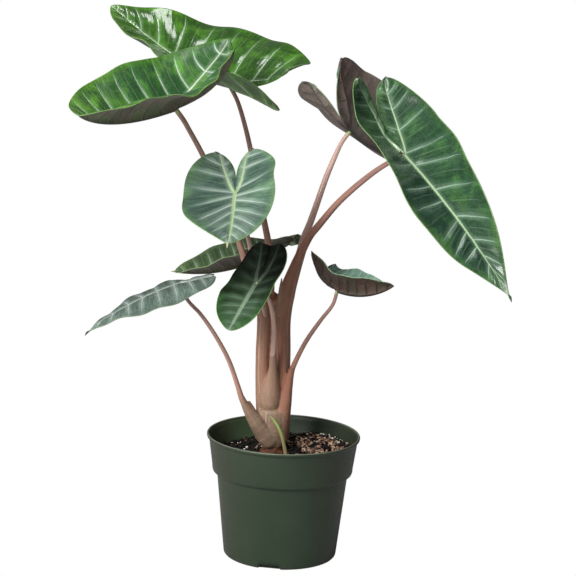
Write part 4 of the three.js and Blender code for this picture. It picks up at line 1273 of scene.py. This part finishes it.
def sheath_material(settings):
    """Old sheaths: pale and ringed near the mix, browner above, with fine fibres along them."""
    material, tree, shader = principled("sheaths")
    skin = attribute(tree, "skin")
    fibres = drawn_out(tree, skin, (1.9, 0.05, 1.0))
    broad = drawn_out(tree, skin, (0.35, 0.02, 1.0))
    rings = drawn_out(tree, skin, (0.05, 0.55, 1.0), distortion=0.4)
    low = between(tree, split(tree, own_place(tree))[2], RINGED_TOP * MM, RINGED_FOOT * MM)
    share = total(tree, attribute(tree, "tone", "Fac"), product(tree, low, 0.3),
                  product(tree, maths(tree, "SUBTRACT", broad, 0.5), 0.9))
    brown, tan = (tuple(colour) + (1.0,) for colour in (settings.brown, settings.tan))
    colour = mixed(tree, between(tree, share, 0, 1), brown, tan)
    patches = between(tree, grain(tree, 60), 0.4, 0.62, 0.05, 0.45)
    colour = mixed(tree, product(tree, low, patches), colour, tint("sheath_patches"))
    low_rings = product(tree, rings, low)
    colour = toned(tree, colour, product(tree, between(tree, fibres, 0.3, 0.7, 0.76, 1.22),
                                         between(tree, low_rings, 0.25, 0.6, 1.0, 0.74)))
    # Pale edge along the seam: partly the sheath's own margin, partly a painted highlight on its lip
    seam = between(tree, split(tree, skin)[0], *SEAM_WIDTHS)
    colour = mixed(tree, product(tree, seam, 0.6), colour, tint("seam_pale_edge_and_highlight"))
    height = total(tree, fibres, product(tree, low_rings, 1.6))
    dress(tree, shader, colour, 0.55, height, strength=0.55, depth=0.7)
    return material


# Materials of the pot, the mix and the corm

def plastic_material(settings):
    """Moulded plastic: fine grain and faint scuffs, painted shade towards the sides, a painted highlight
    along the rim's top edge, and the inside wall painted lighter at the left and darker at the right, partly
    a dusty film and partly painted light.
    """
    material, tree, shader = principled("pot_plastic")
    base = tuple(settings.colour) + (1.0,)
    paler = tuple(min(1.0, 1.3 * value + 0.004) for value in settings.colour) + (1.0,)
    source = own_place(tree)
    x, y, height = split(tree, source)
    scuffs = drawn_out(tree, source, (90, 90, 420), 4, 0.65)
    colour = mixed(tree, between(tree, grain(tree, 14), 0.35, 0.7, 0, 0.6), base, paler)
    colour = mixed(tree, between(tree, scuffs, 0.62, 0.85, 0, 0.12), colour, tint("pot_scuffs"))
    # Painted shade: darker and browner towards the left and right sides
    sides = between(tree, maths(tree, "ABSOLUTE", x), 20 * MM, 75 * MM, 0, 0.5)
    colour = mixed(tree, sides, colour, tint("pot_painted_shade"))
    # Painted highlight: a pale line along the top edge of the rim
    rim_highlight = between(tree, height, (POT_HEIGHT - 1.1) * MM, (POT_HEIGHT - 0.5) * MM)
    colour = mixed(tree, product(tree, rim_highlight, 0.45), colour, tint("pot_rim_highlight"))

    radius = maths(tree, "SQRT", total(tree, product(tree, x, x), product(tree, y, y)))
    lean = (BAND_TOP_RADIUS - BAND_FOOT_RADIUS) / (LIP_HEIGHT - BAND_FOOT_HEIGHT)
    foot = maths(tree, "SUBTRACT", radius, product(tree, height, lean))
    middle = BAND_FOOT_RADIUS - lean * BAND_FOOT_HEIGHT - WALL / 2
    inside = product(tree, between(tree, foot, (middle + 0.3) * MM, (middle - 0.3) * MM),
                     between(tree, height, 95 * MM, 100 * MM))
    # Inside wall: lighter at the left and darker at the right, partly a dusty film, partly painted light and
    # shade
    dust_and_painted_light = toned(tree, colour, between(tree, x, -60 * MM, 50 * MM, 2.4, 0.9))
    colour = mixed(tree, inside, colour, dust_and_painted_light)
    rough = between(tree, scuffs, 0.3, 0.8, 0.4, 0.52)
    dress(tree, shader, colour, rough, grain(tree, 1500, detail=2), strength=0.2, depth=0.15)
    return material


def toned_material(name, colours, rough, scale):
    """A speckled surface whose attribute "tone" picks a colour between the given ones."""
    material, tree, shader = principled(name)
    ramp = put_node(tree, "ShaderNodeValToRGB", {0: attribute(tree, "tone", "Fac")})
    ramp.color_ramp.elements[0].color = linear(colours[0])
    ramp.color_ramp.elements[1].color = linear(colours[-1])
    for i, code in enumerate(colours[1:-1], start=1):
        ramp.color_ramp.elements.new(i / (len(colours) - 1)).color = linear(code)
    speckle = grain(tree, scale)
    colour = toned(tree, ramp.outputs[0], between(tree, speckle, 0.3, 0.7, 0.6, 1.3))
    dress(tree, shader, colour, rough, speckle, strength=0.7, depth=0.4)
    return material


def bed_material():
    material, tree, shader = principled("mix_bed")
    crumbs = grain(tree, 320, 5, 0.7)
    colour = mixed(tree, between(tree, crumbs, 0.45, 0.75), tint("bed_dark"), tint("bed_pale"))
    dress(tree, shader, colour, 0.9, crumbs, strength=1.0, depth=1.5)
    return material


def bulb_material():
    material, tree, shader = principled("corm_skin")
    bands = drawn_out(tree, own_place(tree), (110, 110, 380), 5, 0.7, 0.6)
    colour = mixed(tree, between(tree, bands, 0.35, 0.7), tint("corm_dark"), tint("corm_pale"))
    dress(tree, shader, colour, 0.75, bands, strength=0.9, depth=1.2)
    return material


# Pot and mix

def body_radius(height):
    """Radius of the pot's straight, tapering body."""
    (foot, low), (top, high) = BODY_FOOT, BODY_TOP
    return foot + (top - foot) * (height - low) / (high - low)


def pot_profile():
    """Outline of the pot's wall, from the middle of its foot over the rim to the middle of its floor.

    The small numbers round off its edges, in millimetres.
    """
    foot, body, low, high, rim = BASE_RADIUS, BODY_TOP_RADIUS, BAND_FOOT_RADIUS, BAND_TOP_RADIUS, RIM_RADIUS
    return [
        (0, 0), (foot - 20, 0), (foot - 3, 0), (foot - 1.2, 0.4), (foot - 0.2, 1.6), BODY_FOOT,
        *[(body_radius(height), height) for height in BODY_RINGS],
        BODY_TOP, (body, SHOULDER_HEIGHT), (body + 0.5, SHOULDER_HEIGHT + 0.5),
        (body + 3.4, SHOULDER_HEIGHT + 0.9), (low - 0.7, SHOULDER_HEIGHT + 1.8),
        (low - 0.1, SHOULDER_HEIGHT + 3.6), (low + 0.2, BAND_FOOT_HEIGHT + 1), (high - 0.3, LIP_HEIGHT - 2),
        (high, LIP_HEIGHT), (high + 0.9, LIP_HEIGHT + 0.5), (rim - 0.3, LIP_HEIGHT + 1.1),
        (rim, POT_HEIGHT - 2), (rim, POT_HEIGHT - 1), (rim - 0.5, POT_HEIGHT - 0.2), (rim - 1.1, POT_HEIGHT),
        (rim - 1.9, POT_HEIGHT - 0.4), (high - WALL + 0.6, POT_HEIGHT - 3), (high - WALL, LIP_HEIGHT - 1),
        (low - WALL, BAND_FOOT_HEIGHT), (body - WALL, SHOULDER_HEIGHT + 2), (foot - WALL, FLOOR + 3),
        (foot - WALL - 2, FLOOR), (0, FLOOR),
    ]


def turned(bm, profile, segments):
    """A body of revolution about Z from an outline that starts and ends on the axis."""
    verts = [bm.verts.new((radius * MM, 0, height * MM)) for radius, height in profile]
    edges = [bm.edges.new(pair) for pair in zip(verts, verts[1:])]
    bmesh.ops.spin(bm, geom=verts + edges, cent=(0, 0, 0), axis=(0, 0, 1), angle=TAU, steps=segments,
                   use_merge=True)
    bmesh.ops.remove_doubles(bm, verts=bm.verts, dist=WELD)
    return facing_out(bm)


def slot_cutters():
    """Rounded blocks that cut the drain slots out of the pot's foot."""
    bm = bmesh.new()
    for i in range(DRAIN_SLOTS):
        turn = Matrix.Rotation(math.radians(FIRST_SLOT + 360 * i / DRAIN_SLOTS), 4, "Z")
        place = turn @ Matrix.Translation((BASE_RADIUS * MM, 0, 0)) @ Matrix.Diagonal(
            [size * MM for size in SLOT_SIZE] + [1])
        made = bmesh.ops.create_cube(bm, size=1, matrix=place)
        rising = [edge for edge in {e for v in made["verts"] for e in v.link_edges}
                  if all(v.co.z > 0 for v in edge.verts)]
        bmesh.ops.bevel(bm, geom=rising, offset=SLOT_ROUNDING * MM, segments=4, profile=0.5,
                        affect="EDGES", material=-1)
    mesh = bpy.data.meshes.new("slot_cutters")
    bm.to_mesh(mesh)
    bm.free()
    cutter = bpy.data.objects.new("slot_cutters", mesh)
    bpy.context.scene.collection.objects.link(cutter)
    return cutter


def cut_and_drop(piece, cutter):
    """Cuts the piece with another object, keeps the result in its mesh and removes the cutter."""
    cut = piece.modifiers.new("slots", "BOOLEAN")
    cut.operation = "DIFFERENCE"
    cut.object = cutter
    cut.solver = "EXACT"
    old = piece.data
    piece.data = baked(piece)
    bpy.data.meshes.remove(old)
    bpy.data.objects.remove(cutter)


def soil_height(x, y):
    away = (x - HEAP["x"]) ** 2 + (y - HEAP["y"]) ** 2
    heap = HEAP["height"] * math.exp(-away / (2 * HEAP["spread"] ** 2))
    lumps = math.sin(x * 0.17 + 1) * math.sin(y * 0.21) + 0.6 * math.sin(x * 0.31 + y * 0.27)
    return SOIL_LEVEL + heap + lumps


def grains(name, count, region, size, material, seed, detail=1):
    """Rough grains laid on the mix at random, where region(x, y) gives the chance of a grain."""
    bm = bmesh.new()
    tone = bm.verts.layers.float.new("tone")
    draw = random.Random(seed)
    laid = 0
    tries = 0
    while laid < count and tries < TRIES_PER_GRAIN * count:
        tries += 1
        x, y = draw.uniform(-SOIL_RADIUS, SOIL_RADIUS), draw.uniform(-SOIL_RADIUS, SOIL_RADIUS)
        if math.hypot(x, y) > SOIL_RADIUS - WALL_CLEARANCE or draw.random() > region(x, y):
            continue
        laid += 1
        radius = size * draw.uniform(*GRAIN_SIZES)
        made = bmesh.ops.create_icosphere(bm, subdivisions=detail, radius=radius * MM)
        spin = Matrix.Rotation(draw.uniform(0, TAU), 4, "Z")
        turn = spin @ Matrix.Rotation(draw.uniform(*GRAIN_TILT), 4, "X")
        shape = Matrix.Diagonal([draw.uniform(*span) for span in GRAIN_PROPORTIONS] + [1])
        height = soil_height(x, y) + radius * draw.uniform(*GRAIN_RISE)
        place = Matrix.Translation(Vector((x, y, height)) * MM) @ turn @ shape
        value = draw.random()
        for vert in made["verts"]:
            vert.co *= draw.uniform(*GRAIN_ROUGHNESS)
            vert[tone] = value
        bmesh.ops.transform(bm, matrix=place, verts=made["verts"])
    return finished(name, bm, [material], [], smooth_faces=False)


def plastic_pot(settings):
    bm = turned(bmesh.new(), pot_profile(), settings.segments)
    piece = finished("grow_pot", bm, [plastic_material(settings)], ["pot"])
    cut_and_drop(piece, slot_cutters())
    return piece


def mix_bed():
    """The body of the mix: rings over its rough top, then down inside the pot's wall."""
    bm = bmesh.new()
    inset = WALL + 0.5
    sides = ((BAND_FOOT_RADIUS - inset, BAND_FOOT_HEIGHT + 0.4),
             (BODY_TOP_RADIUS - inset, SHOULDER_HEIGHT + 2.5), (BASE_RADIUS - inset, FLOOR + 3.3),
             (BASE_RADIUS - inset - 2, FLOOR + 0.3), (0, FLOOR + 0.3))
    top_rings = 56
    rings = top_rings + len(sides)

    def put(vert, across, along):
        ring = round(along * rings)
        turn = across * TAU
        radius = SOIL_RADIUS * ring / top_rings if ring <= top_rings else sides[ring - top_rings - 1][0]
        x, y = radius * math.cos(turn), radius * math.sin(turn)
        if ring <= top_rings:
            rough = noise.fractal(Vector((x, y, 3)) * 0.16, 0.6, 2.2, 5)
            height = soil_height(x, y) - 1.2 + 1.6 * rough * min(1.0, (top_rings - ring) / 3)
        else:
            height = sides[ring - top_rings - 1][1]
        vert.co = Vector((x, y, height)) * MM

    mapped_grid(bm, 200, rings, put)
    bmesh.ops.remove_doubles(bm, verts=bm.verts, dist=WELD)
    return finished("mix_bed", facing_out(bm), [bed_material()], ["potting_mix"])


def heap_chance(x, y):
    """Chips lie at the right and thin out towards the back, the front and the trunk, in patches."""
    if math.hypot(x - TRUNK_MIDDLE[0], y - TRUNK_MIDDLE[1]) < TRUNK_CLEARANCE:
        return 0.0
    patches = smooth(1.6 * noise.noise(Vector((x, y, 5)) * 0.09) + 0.6)
    inwards = ((x - CHIP_LEFT_EDGE[0]) / CHIP_LEFT_EDGE[1], (y - CHIP_FRONT_EDGE[0]) / CHIP_FRONT_EDGE[1],
               (CHIP_BACK_EDGE[0] - y) / CHIP_BACK_EDGE[1])
    return STRAY_CHIPS + (1 - STRAY_CHIPS) * patches * math.prod(smooth(share) for share in inwards)


def left_chance(x, y):
    """White grains lie in a line at the left, and a few against the wall at the back right."""
    (line_x, share_x), (line_y, share_y) = PERLITE_LINE
    off_line = abs((x - line_x) * share_x - (y - line_y) * share_y)
    if x < PERLITE_RIGHT_END:
        return 0.06 + 0.94 * smooth(1 - off_line / PERLITE_SPREAD)
    return 0.5 if x > PERLITE_CORNER[0] and y > PERLITE_CORNER[1] else 0.02


def anywhere(x, y):
    return 1.0


# Stage

def world_light(strength):
    """White to the camera. For the plant, bright at the left, darker at the right and in reflections."""
    world = bpy.data.worlds.new("studio")
    world.use_nodes = True
    tree = world.node_tree
    tree.nodes.clear()
    direction = split(tree, put_node(tree, "ShaderNodeTexCoord").outputs["Generated"])
    levels = (between(tree, share, *row) for share, row in zip(direction, ROUND_LIGHT))
    path = put_node(tree, "ShaderNodeLightPath").outputs
    mirrored = between(tree, path["Is Glossy Ray"], 0, 1, 1, MIRRORED_LIGHT, smoothly=False)
    level = product(tree, *levels, strength, mirrored)
    around = put_node(tree, "ShaderNodeBackground", {0: WHITE, 1: level}).outputs[0]
    seen = put_node(tree, "ShaderNodeBackground", {0: WHITE, 1: 1.0}).outputs[0]
    both = put_node(tree, "ShaderNodeMixShader", {0: path["Is Camera Ray"], 1: around, 2: seen}).outputs[0]
    put_node(tree, "ShaderNodeOutputWorld", {0: both})
    bpy.context.scene.world = world


def area_light(name, place, aim, size, power):
    light = bpy.data.lights.new(name, "AREA")
    light.shape = "DISK"
    light.size = size
    light.energy = power
    lamp = bpy.data.objects.new(name, light)
    lamp.location = place
    lamp.rotation_euler = (Vector(aim) - Vector(place)).to_track_quat("-Z", "Y").to_euler()
    bpy.context.scene.collection.objects.link(lamp)


def floor_disc():
    """A pale floor that the camera sees as plain white."""
    bm = bmesh.new()
    bmesh.ops.create_circle(bm, cap_ends=True, segments=96, radius=FLOOR_RADIUS)
    bmesh.ops.translate(bm, vec=(0, 0, -FLOOR_DROP), verts=bm.verts)
    mesh = bpy.data.meshes.new("floor")
    bm.to_mesh(mesh)
    bm.free()
    material, tree, shader = principled("floor")
    dress(tree, shader, FLOOR_GREY, 0.9)
    shader.inputs["Specular IOR Level"].default_value = 0.0
    white = put_node(tree, "ShaderNodeEmission", {0: WHITE, 1: 1.0}).outputs[0]
    is_camera = put_node(tree, "ShaderNodeLightPath").outputs["Is Camera Ray"]
    both = put_node(tree, "ShaderNodeMixShader", {0: is_camera, 1: shader.outputs[0], 2: white}).outputs[0]
    tree.links.new(both, tree.nodes["Material Output"].inputs["Surface"])
    mesh.materials.append(material)
    floor = bpy.data.objects.new("floor", mesh)
    bpy.context.scene.collection.objects.link(floor)


def camera():
    data = bpy.data.cameras.new("camera")
    data.lens = CAMERA_LENS
    data.sensor_width = SENSOR
    data.clip_end = CAMERA_REACH
    eye = bpy.data.objects.new("camera", data)
    pitch, roll = radians(90 - CAMERA_PITCH, CAMERA_ROLL)
    turn = Matrix.Rotation(pitch, 4, "X") @ Matrix.Rotation(roll, 4, "Z")
    eye.matrix_world = Matrix.Translation(CAMERA_PLACE) @ turn
    bpy.context.scene.collection.objects.link(eye)
    bpy.context.scene.camera = eye


# Operators

class ALOCASIA_OT_stage(bpy.types.Operator):
    """Adds the camera, the lights and the floor"""

    bl_idname = "alocasia.stage"
    bl_label = "Stage"

    def execute(self, context):
        settings = context.scene.alocasia_stage
        camera()
        world_light(settings.fill)
        area_light("key", **KEY_LIGHT, power=settings.key)
        area_light("top", **TOP_LIGHT, power=settings.top)
        floor_disc()
        context.scene.view_settings.view_transform = "Standard"
        return {"FINISHED"}


class ALOCASIA_OT_pot(bpy.types.Operator):
    """Adds the moulded pot with its drain slots"""

    bl_idname = "alocasia.pot"
    bl_label = "Pot"

    def execute(self, context):
        plastic_pot(context.scene.alocasia_pot)
        return {"FINISHED"}


class ALOCASIA_OT_mix(bpy.types.Operator):
    """Adds the potting mix with its crumbs, chips and perlite"""

    bl_idname = "alocasia.mix"
    bl_label = "Potting mix"

    def execute(self, context):
        settings = context.scene.alocasia_mix
        mix_bed()
        size = settings.chip_size / MM
        chips = toned_material("chips", CHIP_COLOURS, 0.7, 500)
        crumbs = toned_material("crumbs", CRUMB_COLOURS, 0.9, 400)
        perlite = toned_material("perlite", PERLITE_COLOURS, 0.8, 500)
        grains("crumbs", settings.crumbs, anywhere, size * CRUMB_SHARE, crumbs, seed=11)
        grains("chips", settings.chips, heap_chance, size, chips, seed=5)
        grains("perlite", settings.perlite, left_chance, size * PERLITE_SHARE, perlite, seed=3, detail=2)
        return {"FINISHED"}


class ALOCASIA_OT_corm(bpy.types.Operator):
    """Adds the brown corm at the foot of the trunk"""

    bl_idname = "alocasia.corm"
    bl_label = "Corm"

    def execute(self, context):
        low, high = CORM_BOX
        bm = bmesh.new()
        bmesh.ops.create_icosphere(bm, subdivisions=5, radius=1)
        half = (high - low) / 2
        for vert in bm.verts:
            point = vert.co.copy()
            ring = CORM_RINGS * math.sin(point.z * 26 + 3 * noise.noise(point * 2))
            rough = CORM_LUMPS * noise.fractal(point * 3, 0.6, 2.1, 4)
            point *= CORM_SHRINK + ring + rough
            vert.co = Vector((point.x * half.x, point.y * half.y, point.z * half.z)) + (low + high) / 2
        finished("bulb", bm, [bulb_material()], ["corm"])
        return {"FINISHED"}


class ALOCASIA_OT_trunk(bpy.types.Operator):
    """Adds the clasping sheaths of the stalks, which are the trunk"""

    bl_idname = "alocasia.trunk"
    bl_label = "Trunk"

    def execute(self, context):
        bm = new_skin()
        for sheath in SHEATHS:
            tube(bm, **sheath, around=72, steps=10, lip=SHEATH_LIP)
        material = sheath_material(context.scene.alocasia_stalk)
        piece = finished("sheaths", facing_out(bm), [material], ["trunk"])
        grown_together(piece, TRUNK_VOXEL)
        return {"FINISHED"}


class ALOCASIA_OT_shoot(bpy.types.Operator):
    """Adds the green shoot in front of the trunk"""

    bl_idname = "alocasia.shoot"
    bl_label = "Shoot"

    def execute(self, context):
        bm = new_skin()
        tube(bm, **SHOOT, around=20)
        material = stalk_material("shoot", tint("shoot_foot"), tint("shoot_skin"), tint("shoot_tip"))
        finished("shoot", facing_out(bm), [material], ["sprout"])
        return {"FINISHED"}


class ALOCASIA_OT_stalks(bpy.types.Operator):
    """Adds the stalk of each leaf"""

    bl_idname = "alocasia.stalks"
    bl_label = "Stalks"

    def execute(self, context):
        settings = context.scene.alocasia_stalk
        for name, leaf in LEAVES.items():
            pale = STALK_PALENESS[name]
            foot_colour, end_colour = (
                tuple(dark + (light - dark) * pale for dark, light in zip(tone, settings.pink)) + (1.0,)
                for tone in (settings.brown, settings.rose))
            end = Vector(leaf["at"]) - blade_axes(leaf)["up"] * STALK_SINK
            bm = new_skin()
            tube(bm, leaf["route"] + (tuple(end),), leaf["radii"], steps=8)
            material = stalk_material(name, foot_colour, end_colour, tint("stalk_joint"))
            finished(f"stalk_{name}", facing_out(bm), [material], [f"petiole_{name}"])
        return {"FINISHED"}


class ALOCASIA_OT_blades(bpy.types.Operator):
    """Adds the blade of each leaf"""

    bl_idname = "alocasia.blades"
    bl_label = "Blades"

    def execute(self, context):
        settings = context.scene.alocasia_leaf
        for name in LEAVES:
            blade(name, settings)
        for name in TIPS:
            blade_tip(name, settings)
        blade_curl(settings)
        return {"FINISHED"}


class ALOCASIA_PT_panel(bpy.types.Panel):
    """Lists the pieces of the plant"""

    bl_idname = "ALOCASIA_PT_panel"
    bl_label = "Potted alocasia"
    bl_space_type = "VIEW_3D"
    bl_region_type = "UI"
    bl_category = "Alocasia"

    def draw(self, context):
        for operator in OPERATORS:
            self.layout.operator(operator.bl_idname)
        for group in SETTINGS:
            settings = getattr(context.scene, group)
            for name in settings.__annotations__:
                self.layout.prop(settings, name)


OPERATORS = (ALOCASIA_OT_stage, ALOCASIA_OT_pot, ALOCASIA_OT_mix, ALOCASIA_OT_corm, ALOCASIA_OT_trunk,
             ALOCASIA_OT_shoot, ALOCASIA_OT_stalks, ALOCASIA_OT_blades)
SETTINGS = {
    "alocasia_pot": PotSettings,
    "alocasia_mix": MixSettings,
    "alocasia_leaf": LeafSettings,
    "alocasia_stalk": StalkSettings,
    "alocasia_stage": StageSettings,
}


def register():
    for group in SETTINGS.values():
        bpy.utils.register_class(group)
    for operator in OPERATORS:
        bpy.utils.register_class(operator)
    bpy.utils.register_class(ALOCASIA_PT_panel)
    for name, group in SETTINGS.items():
        setattr(bpy.types.Scene, name, PointerProperty(type=group))


def unregister():
    for name in SETTINGS:
        delattr(bpy.types.Scene, name)
    bpy.utils.unregister_class(ALOCASIA_PT_panel)
    for operator in reversed(OPERATORS):
        bpy.utils.unregister_class(operator)
    for group in reversed(SETTINGS.values()):
        bpy.utils.unregister_class(group)


def main():
    register()
    bpy.ops.alocasia.stage()
    bpy.ops.alocasia.pot()
    bpy.ops.alocasia.mix()
    bpy.ops.alocasia.corm()
    bpy.ops.alocasia.trunk()
    bpy.ops.alocasia.shoot()
    bpy.ops.alocasia.stalks()
    bpy.ops.alocasia.blades()


if __name__ == "__main__":
    main()
